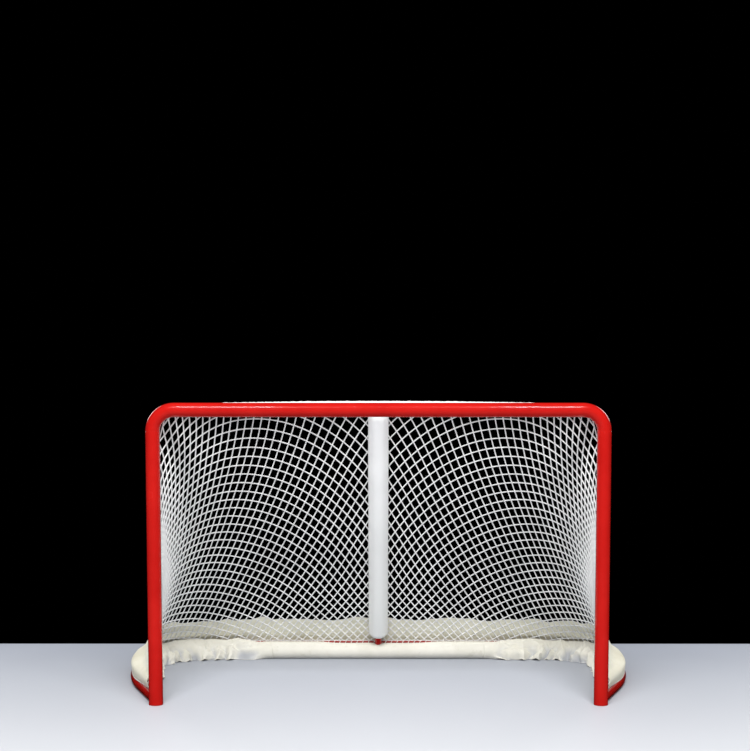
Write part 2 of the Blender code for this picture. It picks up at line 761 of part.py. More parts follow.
def make_net(name, shape, place):
    """Give trimmed netting its place in the goal and its strands."""
    for vert in shape.verts:
        vert.co = place(vert.co.x, vert.co.y)
    bmesh.ops.recalc_face_normals(shape, faces=shape.faces)
    mesh = bpy.data.meshes.new(name)
    shape.to_mesh(mesh)
    shape.free()
    net = add_piece(name, mesh, NET_CORD)
    strands = net.modifiers.new("strands", "WIREFRAME")
    strands.thickness = NET_STRAND
    strands.use_even_offset = False
    strands.use_boundary = True
    strands.use_replace = True
    return net


def build_side_nets():
    """Back and side of the net, each half in two panels that meet at the rear bend."""
    snap = NET_CELL_STEP / 5
    seam = GAP / 2 + STRAND_HALF
    outer = NET_OUTER_RING_BACK + NET_CELL_STEP
    for side, hand in ((-1, "left"), (1, "right")):
        for panel in ("back", "side"):
            back = panel == "back"
            shape = flat_netting(outer * 1.5)
            trim(shape, lambda h, w: h, 0.1)
            trim(shape, lambda h, w: w, 0.1)
            trim(shape, lambda h, w: w - h if back else h - w, 0.1)
            trim(shape, lambda h, w: cut_place(h, w)[1], snap / 18)
            trim(shape, lambda h, w: 1 - cut_place(h, w)[1], snap / 18)

            def place(h, w):
                turn, fall = cut_place(h, w)
                x, y, z = sheet_point(turn, fall)
                if back and turn < 0.001:
                    x = seam
                if abs(turn - 0.5) < 0.001:
                    nudge = -seam if back else seam
                    x += nudge * math.cos(math.radians(45))
                    y -= nudge * math.sin(math.radians(45))
                return side * x, y, z

            make_net(hand + "_" + panel + "_net", shape, place)


def build_top_net():
    """Flat net over the shelf, from the crossbar's rod back over the shelf's arc."""
    front = ROD_Y + ROD_RADIUS + GAP + STRAND_HALF
    end = NET_SHELF_END

    def place(h, w):
        angle = math.atan2(h, w) / (math.pi / 2) * end
        x, y = shelf_plan(angle)
        share = math.hypot(h, w) / NET_INNER_RING
        return share * x, share * y, NET_TOP_Z

    shape = flat_netting(NET_INNER_RING * 1.5)
    snap = NET_CELL_STEP / 5
    trim(shape, lambda h, w: w, 0.1)
    trim(shape, lambda h, w: NET_INNER_RING - math.hypot(h, w), snap)
    trim(shape, lambda h, w: place(h, w)[1] - front, snap * SHELF_DEPTH / NET_INNER_RING)
    make_net("top_net", shape, place)


# Lacing cords

def build_lacing():
    """Cords beside the rods, between the rods and the net's edge."""
    beside = ROD_RADIUS + GAP + LACING_RADIUS
    for side, hand in ((-1, "left"), (1, "right")):
        x = ROD_X - beside
        low = POST_ROD_BOTTOM + LACING_DIAMETER
        high = POST_ROD_TOP - LACING_DIAMETER
        run = mirrored([(x, ROD_Y, low), (x, ROD_Y, high)], side)
        poly_tube(hand + "_post_lacing", [run], LACING_RADIUS, ROD_SIDES, LACE_CORD)
    half = CROSSBAR_ROD_HALF_LENGTH - LACING_DIAMETER
    z = CROSSBAR_ROD_Z - beside
    run = [(-half, ROD_Y, z), (half, ROD_Y, z)]
    poly_tube("crossbar_lacing", [run], LACING_RADIUS, ROD_SIDES, LACE_CORD)
    offset = (SHELF_RADIUS + 2 * GAP + LACING_RADIUS) * math.cos(math.radians(45))
    span = NET_SHELF_END - LACING_DIAMETER
    run = [(*shelf_plan(a, offset), CROSSBAR_Z + offset) for a in spread(-span, span, 0.09)]
    poly_tube("shelf_lacing", [run], LACING_RADIUS, ROD_SIDES, LACE_CORD)
    offset = BASE_ROD_OFFSET + beside + GAP
    half_run = base_run(SIDE_ROD_PLACES, offset, BASE_ROD_HEIGHT)
    run = mirrored(half_run, -1)[::-1] + mirrored(half_run, 1)
    poly_tube("base_lacing", [run], LACING_RADIUS, ROD_SIDES, LACE_CORD)


# Pads and covers

def build_centre_pad():
    """Vinyl pad round the front and sides of the centre post, laced across its open back."""
    low = centre_axis(CENTRE_PAD_FOOT_HEIGHT)
    high = centre_axis(CENTRE_PAD_TOP_HEIGHT)
    along = (high - low).normalized()
    front = Vector((0, -along.z, along.y))
    bore = CENTRE_POST_RADIUS + 2 * GAP
    rear = CENTRE_POST_RADIUS - GAP
    reach = math.pi - PAD_OPENING_ANGLE
    half_width = CENTRE_PAD_WIDTH / 2
    length = (high - low).length
    rounding = CENTRE_PAD_WIDTH / 4
    places = [0.0, 0.15, 0.45, 1.0]
    stations = [rounding * p for p in places] + [length - rounding * p for p in reversed(places)]
    sections = []
    for station in stations:
        from_end = min(station, length - station) / rounding
        fullness = math.sqrt(1 - (1 - min(from_end, 1)) ** 2) * 0.45 + 0.55
        outline = []
        for angle in np.linspace(-reach, reach, 15):
            depth = CENTRE_PAD_FRONT * fullness if abs(angle) < math.pi / 2 else rear
            depth = max(depth, bore + 0.002) if abs(angle) < math.pi / 2 else depth
            across = max(half_width * fullness, bore + 0.004) * math.sin(angle)
            outline.append((across, depth * math.cos(angle)))
        for angle in np.linspace(reach, -reach, 13):
            outline.append((bore * math.sin(angle), bore * math.cos(angle)))
        centre = low + along * station
        sections.append([centre + Vector((a, 0, 0)) + front * f for a, f in outline])
    loft("centre_post_pad", sections, PAD_VINYL)
    back = CENTRE_POST_RADIUS + GAP + PAD_LACING_DIAMETER / 2
    zigzag = []
    heights = np.arange(PAD_LACING_LOW, PAD_LACING_HIGH, PAD_LACING_STEP)
    for k, z in enumerate(heights):
        sway = half_width * 0.6 * (1 if k % 2 else -1)
        zigzag.append(centre_axis(z) - front * back + Vector((sway, 0, 0)))
    poly_tube("centre_pad_lacing", [zigzag], PAD_LACING_DIAMETER / 2, ROD_SIDES, LACE_CORD)


def rail_bite():
    """The part of a pad's outline that hugs the base tube, from its rear top to its front foot."""
    grip = BASE_RADIUS + 0.0005
    points = []
    for degrees in np.linspace(96, 228, 9):
        angle = math.radians(degrees)
        points.append((grip * math.cos(angle), BASE_RADIUS + grip * math.sin(angle)))
    return points


def build_roll():
    """Round pad over the rear rail, flat where it lies on the ice and notched for the post."""
    radius = ROLL_DIAMETER / 2
    top_u, top_z = rail_bite()[0]
    start = math.acos((top_u + ROLL_INSET) / radius)
    outline = []
    for angle in np.linspace(start, math.radians(256), 15):
        outline.append((-ROLL_INSET + radius * math.cos(angle), radius + radius * math.sin(angle)))
    outline.append((outline[-1][0] + 0.002, 0.0))
    outline.append((-0.0165, 0.0))
    outline += rail_bite()[::-1]
    sections = []
    for x in (-ROLL_HALF_LENGTH, ROLL_HALF_LENGTH):
        sections.append([Vector((x, REAR_Y + u, z)) for u, z in outline])
    roll = loft("rear_base_pad", sections, COVER_CANVAS)
    post_space = round_cutter(
        "centre_post_space", [knot(centre_axis(0)), knot(centre_axis(CROSSBAR_Z / 2))],
        CENTRE_POST_RADIUS, BASE_SIDES, 1,
    )
    cut(roll, post_space)


def build_covers():
    """Loose canvas over the inside of the base tube, from the roll's end round to each post."""
    start = ROLL_HALF_LENGTH + GAP
    end = BASE_LENGTH - COVER_POST_GAP
    stations = spread(start, end, 0.052)
    roll_reach = ROLL_DIAMETER / 2 + ROLL_INSET
    for side, hand in ((-1, "left"), (1, "right")):
        sections = []
        for s in stations:
            share = (s - start) / (end - start)
            swell = math.sin(math.pi * share) ** 2
            reach = roll_reach + (COVER_REACH - roll_reach) * swell
            fold = COVER_FOLD * math.sin(s * 47.0) * min(1, share * 8)
            ripple = COVER_FOLD * math.sin(s * 83.0 + 1.0) * min(1, share * 8)
            crest = COVER_HEIGHT - abs(fold)
            outline = [
                (-0.002, BASE_DIAMETER + 0.018),
                (-0.010, crest - 0.014),
                (-0.024, crest),
                (-0.036, crest - 0.006 + ripple * 0.3),
                (-0.40 * reach - 0.012, crest * 0.72 + fold * 0.6),
                (-0.62 * reach - 0.006, crest * 0.46 - ripple * 0.6),
                (-0.82 * reach + fold * 0.5, crest * 0.26 + ripple * 0.4),
                (-0.96 * reach + ripple * 0.4, crest * 0.10 + 0.002),
                (-reach + fold * 0.4, 0.0),
                (-0.0165, 0.0),
                (-0.012, BASE_RADIUS),
                (-0.002, BASE_RADIUS * 1.4),
            ]
            section = []
            for u, z in outline:
                x, y = base_plan(s, u)
                section.append(Vector((side * x, y, z)))
            sections.append(section)
        cover = loft(hand + "_corner_cover", sections, COVER_CANVAS)
        cut(cover, cutters.objects[hand + "_base_space"])


def skirt_section(turn, side, fold):
    """Outline across the skirt at a turn of the net: a thin strip that rises against the net."""
    s = NET_BASE_END * turn
    hem_reach = BASE_RADIUS + 2 * GAP + SKIRT_THICKNESS / 2
    hem = hem_reach * math.cos(SKIRT_HEM_ANGLE), hem_reach * math.sin(SKIRT_HEM_ANGLE)
    middle = [(hem[0], BASE_RADIUS + hem[1])]
    beside = BASE_ROD_OFFSET + ROD_RADIUS + LACING_DIAMETER + SKIRT_CLEARANCE
    beside += SKIRT_THICKNESS / 2
    middle.append((beside + 0.0005, BASE_ROD_HEIGHT - LACING_RADIUS))
    middle.append((beside, NET_BASE_Z))
    points = [Vector((*base_plan(s, u), z)) for u, z in middle]
    outwards = Vector((*base_plan(s, 1.0), 0)) - Vector((*base_plan(s), 0))
    clear = STRAND_HALF + SKIRT_THICKNESS + 2 * SKIRT_CLEARANCE
    for share in (0.25, 0.5, 0.75, 1.0):
        z = NET_BASE_Z + (SKIRT_HEIGHT - NET_BASE_Z) * share
        fall = fall_at_height(turn, z)
        x, y, _ = sheet_point(turn, fall)
        points.append(Vector((x, y, z)) + outwards * (clear + fold * share))
    outer = []
    inner = []
    for k, point in enumerate(points):
        before = points[max(k - 1, 0)]
        after = points[min(k + 1, len(points) - 1)]
        along = (after - before).normalized()
        across = along.cross(outwards.cross(Vector((0, 0, 1)))).normalized()
        if across.dot(outwards) < 0:
            across = -across
        outer.append(point + across * SKIRT_THICKNESS / 2)
        inner.append(point - across * SKIRT_THICKNESS / 2)
    return mirrored(outer + inner[::-1], side)


def fall_at_height(turn, z):
    """Where the stretched net passes a height, at a turn."""
    low, high = 0.0, 1.0
    for _ in range(30):
        middle = (low + high) / 2
        if sheet_point(turn, middle)[2] > z:
            low = middle
        else:
            high = middle
    return high


def skirt_fold(turn):
    """How far the skirt stands off the net at a turn."""
    s = NET_BASE_END * turn
    return SKIRT_FOLD * (1 + math.sin(2 * math.pi * s / SKIRT_FOLD_LENGTH))


def build_skirts():
    """Canvas outside the foot of the net: one panel along the back and one round each side."""
    rear_turn = REAR_RUN / NET_BASE_END
    joint = 3 * GAP / NET_BASE_END
    half = [skirt_section(t, 1, skirt_fold(t)) for t in spread(0.0, rear_turn, 0.04)]
    other = [skirt_section(t, -1, skirt_fold(t)) for t in spread(0.0, rear_turn, 0.04)]
    loft("rear_skirt", other[:0:-1] + half, COVER_CANVAS)
    end_turn = 1 - SKIRT_POST_GAP / NET_BASE_END
    for side, hand in ((-1, "left"), (1, "right")):
        turns = spread(rear_turn + joint, end_turn, 0.026)
        sections = [skirt_section(t, side, skirt_fold(t)) for t in turns]
        loft(hand + "_skirt", sections, COVER_CANVAS)


build_posts()
build_crossbar()
build_base()
build_shelf()
build_centre_post()
build_post_rods()
build_crossbar_rod()
build_base_rods()
build_side_nets()
build_top_net()
build_lacing()
build_centre_pad()
build_roll()
build_covers()
build_skirts()
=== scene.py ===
"""Full-size ice hockey goal on a pale floor, seen from the front as a shooter sees it.

Metres, +Z up. The goal's own coordinates have y = 0 in the plane of the two posts; TO_FRAME moves
them into the CAD model's frame.
"""

import json
import math

import bmesh
import bpy
import numpy as np
from mathutils import Matrix, Vector, noise

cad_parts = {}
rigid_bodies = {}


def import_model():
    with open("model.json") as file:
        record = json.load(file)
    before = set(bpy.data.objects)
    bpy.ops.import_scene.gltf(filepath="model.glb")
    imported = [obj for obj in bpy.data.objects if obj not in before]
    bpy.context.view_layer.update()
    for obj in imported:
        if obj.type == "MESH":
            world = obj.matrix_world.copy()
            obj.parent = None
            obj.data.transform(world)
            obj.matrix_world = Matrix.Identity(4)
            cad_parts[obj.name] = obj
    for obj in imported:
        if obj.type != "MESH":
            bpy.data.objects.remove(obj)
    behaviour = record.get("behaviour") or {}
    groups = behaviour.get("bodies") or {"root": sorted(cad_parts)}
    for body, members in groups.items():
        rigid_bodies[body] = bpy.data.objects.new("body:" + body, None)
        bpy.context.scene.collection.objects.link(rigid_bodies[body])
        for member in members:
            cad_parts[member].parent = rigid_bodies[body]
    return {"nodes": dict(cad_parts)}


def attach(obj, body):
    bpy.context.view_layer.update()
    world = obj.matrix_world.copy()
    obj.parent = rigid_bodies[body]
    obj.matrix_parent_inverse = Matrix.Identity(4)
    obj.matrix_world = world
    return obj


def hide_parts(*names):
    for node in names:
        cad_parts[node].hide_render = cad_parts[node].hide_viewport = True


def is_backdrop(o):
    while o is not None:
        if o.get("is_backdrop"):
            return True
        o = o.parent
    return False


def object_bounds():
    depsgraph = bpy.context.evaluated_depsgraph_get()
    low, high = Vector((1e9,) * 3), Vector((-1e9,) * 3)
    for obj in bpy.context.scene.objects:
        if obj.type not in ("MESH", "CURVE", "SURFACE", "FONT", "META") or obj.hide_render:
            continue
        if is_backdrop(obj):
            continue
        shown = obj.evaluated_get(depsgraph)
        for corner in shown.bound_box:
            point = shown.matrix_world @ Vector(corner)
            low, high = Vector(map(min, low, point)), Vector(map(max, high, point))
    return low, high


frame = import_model()
cad_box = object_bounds()

# Goal, in metres
POST_RADIUS = 0.03015
POST_WALL = 0.0039
POST_X = 0.94515
CROSSBAR_Z = 1.25015
CORNER_BEND_RADIUS = 0.09
BASE_RADIUS = 0.0211
BASE_DEPTH = 1.118
BASE_SPLAY = math.radians(20)
BASE_SPLAY_DEPTH = 0.30
BASE_SIDE_STRAIGHT = 0.0334
BASE_REAR_RADIUS = 0.34
SHELF_RADIUS = 0.0167
SHELF_DEPTH = 0.525
SHELF_HALF_SPAN = 0.90
SHELF_SPLIT_ANGLE = math.radians(26)
CENTRE_POST_RADIUS = 0.0167
ROD_RADIUS = 0.004
ROD_DISTANCE = POST_RADIUS + 0.014
ROD_ANGLE = math.radians(20)
ROD_X = POST_X - ROD_DISTANCE * math.sin(ROD_ANGLE)
ROD_Y = ROD_DISTANCE * math.cos(ROD_ANGLE)
POST_ROD_BOTTOM = 0.14
POST_ROD_TOP = 1.10
CROSSBAR_ROD_Z = CROSSBAR_Z + ROD_DISTANCE * math.sin(ROD_ANGLE)
CROSSBAR_ROD_HALF_LENGTH = 0.78
BASE_ROD_OFFSET = 0.0055
BASE_ROD_Z = 0.075
BASE_ROD_START = 0.075
STANDOFF_SPACING = 0.26
ROLL_RADIUS = 0.0375
ROLL_INSET = 0.0187
ROLL_HALF_LENGTH = 0.575
COVER_CREST = 0.093
COVER_REACH_BACK = 0.074
COVER_REACH_SIDE = 0.118
CRUMPLE_HEIGHT = 0.026
SKIRT_TOP_Z = 0.195
SKIRT_WAIST = 0.0175
SKIRT_HEM_ANGLE = math.radians(55)
SKIRT_HEM_ANGLE_AT_POST = math.radians(84)
PAD_HALF_WIDTH = 0.0475
PAD_FRONT = 0.046
PAD_LOW_Z = 0.122
PAD_HIGH_Z = 1.215

SHELF_ARC_RADIUS = (SHELF_HALF_SPAN**2 + SHELF_DEPTH**2) / (2 * SHELF_DEPTH)
SHELF_CENTRE_Y = SHELF_DEPTH - SHELF_ARC_RADIUS
REAR_Y = BASE_DEPTH - POST_RADIUS - BASE_RADIUS
TO_FRAME = Matrix.Translation((0, POST_RADIUS - BASE_DEPTH / 2, 0))

REAR_CENTRE_Y = REAR_Y - BASE_REAR_RADIUS
SIDE_END_Y = REAR_CENTRE_Y - BASE_SIDE_STRAIGHT
BASE_SIDE_RADIUS = (SIDE_END_Y - BASE_SPLAY_DEPTH) / math.sin(BASE_SPLAY)
SPLAY_END_X = POST_X + BASE_SPLAY_DEPTH * math.tan(BASE_SPLAY)
SIDE_CENTRE_X = SPLAY_END_X - BASE_SIDE_RADIUS * math.cos(BASE_SPLAY)
SIDE_END_X = SIDE_CENTRE_X + BASE_SIDE_RADIUS
REAR_RUN = SIDE_END_X - BASE_REAR_RADIUS
REAR_ARC = BASE_REAR_RADIUS * math.pi / 2
SIDE_RUN = BASE_SIDE_STRAIGHT
SIDE_ARC = BASE_SIDE_RADIUS * BASE_SPLAY
SPLAY_RUN = BASE_SPLAY_DEPTH / math.cos(BASE_SPLAY)
BASE_LENGTH = REAR_RUN + REAR_ARC + SIDE_RUN + SIDE_ARC + SPLAY_RUN

SIDES = ((-1, "left"), (1, "right"))
COLLECTION = bpy.context.scene.collection.objects


def base_plan(s, offset=0.0):
    """Point over the base tube's axis at arc length s from the middle of the back."""
    if s < REAR_RUN:
        return s, REAR_Y + offset
    s -= REAR_RUN
    if s < REAR_ARC:
        angle = s / BASE_REAR_RADIUS
        reach = BASE_REAR_RADIUS + offset
        return REAR_RUN + reach * math.sin(angle), REAR_CENTRE_Y + reach * math.cos(angle)
    s -= REAR_ARC
    if s < SIDE_RUN:
        return SIDE_END_X + offset, REAR_CENTRE_Y - s
    s -= SIDE_RUN
    if s < SIDE_ARC:
        angle = s / BASE_SIDE_RADIUS
        reach = BASE_SIDE_RADIUS + offset
        return SIDE_CENTRE_X + reach * math.cos(angle), SIDE_END_Y - reach * math.sin(angle)
    s -= SIDE_ARC
    x = SPLAY_END_X - s * math.sin(BASE_SPLAY) + offset * math.cos(BASE_SPLAY)
    y = BASE_SPLAY_DEPTH - s * math.cos(BASE_SPLAY) - offset * math.sin(BASE_SPLAY)
    return x, y


def base_outwards(s):
    """Unit direction out of the base tube's plan."""
    near = Vector((*base_plan(s), 0))
    far = Vector((*base_plan(s, 1.0), 0))
    return (far - near).normalized()


def shelf_plan(angle, offset=0.0):
    """Point over the shelf's axis at an angle from the middle of the back."""
    reach = SHELF_ARC_RADIUS + offset
    return reach * math.sin(angle), SHELF_CENTRE_Y + reach * math.cos(angle)


def centre_axis(z):
    """Point of the centre post's axis at a height."""
    share = (CROSSBAR_Z - z) / (CROSSBAR_Z - BASE_RADIUS)
    return Vector((0, SHELF_DEPTH + share * (REAR_Y - SHELF_DEPTH), z))


# Materials

def srgb(code):
    """Linear colour of an sRGB hex code such as "C8231E"."""
    channels = [int(code[k:k + 2], 16) / 255 for k in (0, 2, 4)]
    linear = [c / 12.92 if c <= 0.04045 else ((c + 0.055) / 1.055) ** 2.4 for c in channels]
    return (*linear, 1.0)


def fill_inputs(tree, node, inputs):
    """Set a node's inputs, each to a value or to another node's socket."""
    for name, value in inputs.items():
        if isinstance(value, bpy.types.NodeSocket):
            tree.links.new(value, node.inputs[name])
        else:
            node.inputs[name].default_value = value


def add_node(tree, kind, settings=None, inputs=None):
    """A node with its settings and its inputs."""
    added = tree.nodes.new(kind)
    for name, value in (settings or {}).items():
        setattr(added, name, value)
    fill_inputs(tree, added, inputs or {})
    return added


def new_material(name):
    """A material with its shader, and the Object coordinates that its patterns read."""
    material = bpy.data.materials.new(name)
    material.use_nodes = True
    tree = material.node_tree
    shader = tree.nodes["Principled BSDF"]
    place = add_node(tree, "ShaderNodeTexCoord").outputs["Object"]
    return material, tree, shader, place


def two_tone(tree, factor, low, high, dark, light):
    """Colour ramp between two hex colours over a factor's range."""
    ramp = add_node(tree, "ShaderNodeValToRGB", None, {"Fac": factor})
    ramp.color_ramp.elements[0].position = low
    ramp.color_ramp.elements[0].color = srgb(dark)
    ramp.color_ramp.elements[1].position = high
    ramp.color_ramp.elements[1].color = srgb(light)
    return ramp.outputs["Color"]


def mapped(tree, factor, low, high, to_low, to_high):
    """A factor's range turned into another range."""
    return add_node(tree, "ShaderNodeMapRange", None, {
        "Value": factor, "From Min": low, "From Max": high, "To Min": to_low, "To Max": to_high,
    }).outputs["Result"]


def mixed(tree, share, colour, code):
    """A colour mixed with a hex colour by a share from 0 to 1."""
    inputs = {"Factor": share, 6: colour, 7: srgb(code)}
    return add_node(tree, "ShaderNodeMix", {"data_type": "RGBA"}, inputs).outputs[2]


def cloudy(tree, place, scale, detail, roughness=0.5):
    """Noise texture's factor at a place."""
    inputs = {"Vector": place, "Scale": scale, "Detail": detail, "Roughness": roughness}
    return add_node(tree, "ShaderNodeTexNoise", None, inputs).outputs["Fac"]


def bumped(tree, height, strength, distance):
    """Normals bent by the slopes of a height."""
    inputs = {"Height": height, "Strength": strength, "Distance": distance}
    return add_node(tree, "ShaderNodeBump", None, inputs).outputs["Normal"]


def gloss_enamel():
    """Gloss enamel sprayed on steel tube: deep red under a clear, slightly rippled skin."""
    material, tree, shader, place = new_material("gloss_enamel")
    patches = cloudy(tree, place, 5.0, 4.0, 0.6)
    colour = two_tone(tree, patches, 0.3, 0.75, "A3110D", "B41711")
    # Rubber scuffs from pucks, a few centimetres long
    stretched = add_node(tree, "ShaderNodeMapping", None, {"Vector": place, "Scale": (1, 1, 4)})
    scuffs = cloudy(tree, stretched.outputs["Vector"], 9.0, 8.0, 0.72)
    # Orange peel, 3 mm across
    peel = cloudy(tree, place, 330.0, 2.0)
    fill_inputs(tree, shader, {
        "Base Color": mixed(tree, mapped(tree, scuffs, 0.66, 0.74, 0.0, 0.45), colour, "8A100C"),
        "Roughness": mapped(tree, patches, 0.3, 0.8, 0.20, 0.30),
        "Specular IOR Level": 0.22,
        "Coat Weight": 0.5,
        "Coat Roughness": 0.06,
        "Normal": bumped(tree, peel, 0.06, 0.0004),
    })
    return material


def rod_enamel():
    """The same enamel on thin rod, brushed on, with chips down to the grey primer."""
    material, tree, shader, place = new_material("rod_enamel")
    chips = cloudy(tree, place, 60.0, 6.0, 0.7)
    fill_inputs(tree, shader, {
        "Base Color": two_tone(tree, chips, 0.66, 0.70, "A81712", "7A6A66"),
        "Roughness": 0.36,
        "Normal": bumped(tree, chips, 0.25, 0.0006),
    })
    return material


def zinc_plate():
    """Zinc-plated steel: grey, satin, with the faint spangle of the plating."""
    material, tree, shader, place = new_material("zinc_plate")
    spangle = add_node(tree, "ShaderNodeTexVoronoi", None, {"Vector": place, "Scale": 160.0})
    fill_inputs(tree, shader, {
        "Base Color": two_tone(tree, spangle.outputs["Distance"], 0.0, 0.6, "A9ABAD", "C3C5C6"),
        "Metallic": 1.0,
        "Roughness": 0.38,
    })
    return material


def braided_cord(name, shade, light, scale):
    """Braided polyester cord: matt, with the plait's short slanted ribs."""
    material, tree, shader, place = new_material(name)
    ribs = add_node(tree, "ShaderNodeTexWave", {"bands_direction": "DIAGONAL"}, {
        "Vector": place, "Scale": scale, "Distortion": 2.0, "Detail": 1.0,
    })
    fill_inputs(tree, shader, {
        "Base Color": two_tone(tree, cloudy(tree, place, 7.0, 5.0), 0.3, 0.7, shade, light),
        "Roughness": 0.75,
        "Sheen Weight": 0.15,
        "Normal": bumped(tree, ribs.outputs["Fac"], 0.5, 0.0006),
    })
    return material


def woven(name, shade, light, roughness, thread, strength, dirt=None, foot_shade=None, shade_and_darkening=None):
    """Woven cover: warp and weft ribs a thread apart, over slow differences of colour.

    Dirt lies in patches, painted shade darkens its foot, and a mesh attribute adds painted shade in
    folds and darker blotches along a hem.
    """
    material, tree, shader, place = new_material(name)
    cloth = add_node(tree, "ShaderNodeUVMap", {"uv_map": "cloth"}).outputs["UV"]
    colour = two_tone(tree, cloudy(tree, place, 6.0, 6.0, 0.65), 0.3, 0.72, shade, light)
    if dirt:
        marks = cloudy(tree, place, 22.0, 9.0, 0.72)
        colour = mixed(tree, mapped(tree, marks, 0.56, 0.75, 0.0, 0.55), colour, dirt)
    # Painted shade: the colour darkens towards the foot, as under light from above
    if foot_shade:
        height = add_node(tree, "ShaderNodeSeparateXYZ", None, {"Vector": place}).outputs["Z"]
        colour = mixed(tree, mapped(tree, height, 0.05, 1.1, 1.0, 0.0), colour, foot_shade)
    # From the mesh attribute: painted shade in a cover's folds, darker blotches along a skirt's hem
    if shade_and_darkening:
        depth = add_node(tree, "ShaderNodeAttribute", {"attribute_name": "shade_and_darkening"}).outputs["Fac"]
        colour = mixed(tree, mapped(tree, depth, 0.0, 1.0, 0.0, 0.85), colour, shade_and_darkening)
    ribs = {}
    for slot, direction in enumerate(("X", "Y")):
        wave = add_node(tree, "ShaderNodeTexWave", {"bands_direction": direction}, {
            "Vector": cloth, "Scale": math.pi / 10 / thread, "Distortion": 0.4,
        })
        ribs[slot] = wave.outputs["Fac"]
    both = add_node(tree, "ShaderNodeMath", {"operation": "MAXIMUM"}, ribs)
    fill_inputs(tree, shader, {
        "Base Color": colour,
        "Roughness": roughness,
        "Sheen Weight": 0.1,
        "Normal": bumped(tree, both.outputs["Value"], strength, 0.0005),
    })
    return material


ENAMEL = gloss_enamel()
ROD_ENAMEL = rod_enamel()
ZINC = zinc_plate()
NET_BRAID = braided_cord("net_braid", "E4E4E2", "F4F4F2", 700.0)
LACE_BRAID = braided_cord("lace_braid", "DDDBD3", "F0EEE8", 500.0)
# Painted shade darkens the vinyl towards its foot
COATED_VINYL = woven("coated_vinyl", "F4F4F3", "FBFBFA", 0.42, 0.0012, 0.08, foot_shade="EDEEE9")
# Painted shade darkens the duck canvas in its folds
DUCK_CANVAS = woven(
    "duck_canvas", "DFDCCE", "EEEBDF", 0.72, 0.0010, 0.3, "C8C3AE", shade_and_darkening="B3B6BC",
)
SKIRT_CANVAS = woven(
    "skirt_canvas", "F7F4DE", "FDFAEA", 0.75, 0.0010, 0.3, "D8D2B6", shade_and_darkening="BEB28C",
)


# Making pieces

LACE = (LACE_BRAID, "white_lace")
NET_CORD = (NET_BRAID, "white_net_cord")
LACE_RADIUS = 0.0016
BASE_LACE_RADIUS = 0.0021
PAD_LACE_RADIUS = 0.0015
EDGE_CORD_RADIUS = 0.0026
# Rise of the lacing for each turn round its rod, and round the net's edge above the base
LACE_PITCH = 0.042
BASE_LACE_PITCH = 0.028


def add_piece(name, data, material, slot, nodes=()):
    """Put a mesh or curve into the scene, on the goal's body, in place of the CAD nodes named."""
    piece = bpy.data.objects.new(name, data)
    COLLECTION.link(piece)
    data.materials.append(material)
    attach(piece, "root")
    if nodes:
        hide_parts(*nodes)
    return piece


def mesh_from(shape, name, merge=0.00001):
    """Turn a bmesh in the goal's coordinates into a smooth mesh in the CAD model's frame."""
    if merge:
        bmesh.ops.remove_doubles(shape, verts=shape.verts, dist=merge)
    bmesh.ops.recalc_face_normals(shape, faces=shape.faces)
    bmesh.ops.transform(shape, matrix=TO_FRAME, verts=shape.verts)
    for face in shape.faces:
        face.smooth = True
    mesh = bpy.data.meshes.new(name)
    shape.to_mesh(mesh)
    shape.free()
    mesh.set_sharp_from_angle(angle=math.radians(40))
    return mesh


def ring(shape, centre, direction, radius, sides):
    """Edges of a circle about a point, square to a direction."""
    turn = Vector(direction).to_track_quat("Z", "X").to_matrix().to_4x4()
    made = bmesh.ops.create_circle(
        shape, cap_ends=False, segments=sides, radius=radius,
        matrix=Matrix.Translation(Vector(centre)) @ turn,
    )
    edges = []
    for vert in made["verts"]:
        edges += [edge for edge in vert.link_edges if edge not in edges]
    return edges


def run_straight(shape, edges, move):
    """Carry a tube's end on by a straight."""
    grown = bmesh.ops.extrude_edge_only(shape, edges=edges)["geom"]
    verts = [g for g in grown if isinstance(g, bmesh.types.BMVert)]
    bmesh.ops.translate(shape, verts=verts, vec=Vector(move))
    return [g for g in grown if isinstance(g, bmesh.types.BMEdge)]


def run_bend(shape, edges, centre, axis, angle, steps):
    """Carry a tube's end on round a bend."""
    grown = bmesh.ops.spin(
        shape, geom=edges, cent=Vector(centre), axis=Vector(axis), angle=angle, steps=steps,
        use_duplicate=False,
    )["geom_last"]
    return [g for g in grown if isinstance(g, bmesh.types.BMEdge)]


def tube(start, direction, radius, sides, *runs, caps=(False, False)):
    """A tube's shape from its start, through straights (a move) and bends (run_bend's values)."""
    shape = bmesh.new()
    edges = ring(shape, start, direction, radius, sides)
    if caps[0]:
        bmesh.ops.contextual_create(shape, geom=edges)
    for run in runs:
        carry = run_straight if len(run) == 1 else run_bend
        edges = carry(shape, edges, *run)
    if caps[1]:
        bmesh.ops.contextual_create(shape, geom=edges)
    return shape


def add_tube(name, node, shape, material=ENAMEL, slot="red_paint"):
    """A piece from a tube's shape, in place of a CAD node."""
    return add_piece(name, mesh_from(shape, name), material, slot, (node,))


def flip(point, side):
    """A point of the right half, on the right (side 1) or the left (side -1)."""
    return Vector((side * point[0], point[1], point[2]))


def add_cord(name, runs, radius, resolution, kind, nodes=(), widths=None, cyclic=False):
    """Round cords through runs of points in the goal's coordinates, as one piece."""
    curve = bpy.data.curves.new(name, "CURVE")
    curve.dimensions = "3D"
    curve.bevel_depth = radius
    curve.bevel_resolution = resolution
    curve.use_fill_caps = not cyclic
    for k, run in enumerate(runs):
        spline = curve.splines.new("POLY")
        spline.points.add(len(run) - 1)
        flat = np.ones((len(run), 4))
        flat[:, :3] = np.array(run) + np.array(TO_FRAME.translation)
        spline.points.foreach_set("co", flat.ravel())
        if widths is not None:
            spline.points.foreach_set("radius", widths[k])
        spline.use_cyclic_u = cyclic
        spline.use_smooth = True
    return add_piece(name, curve, *kind, nodes)


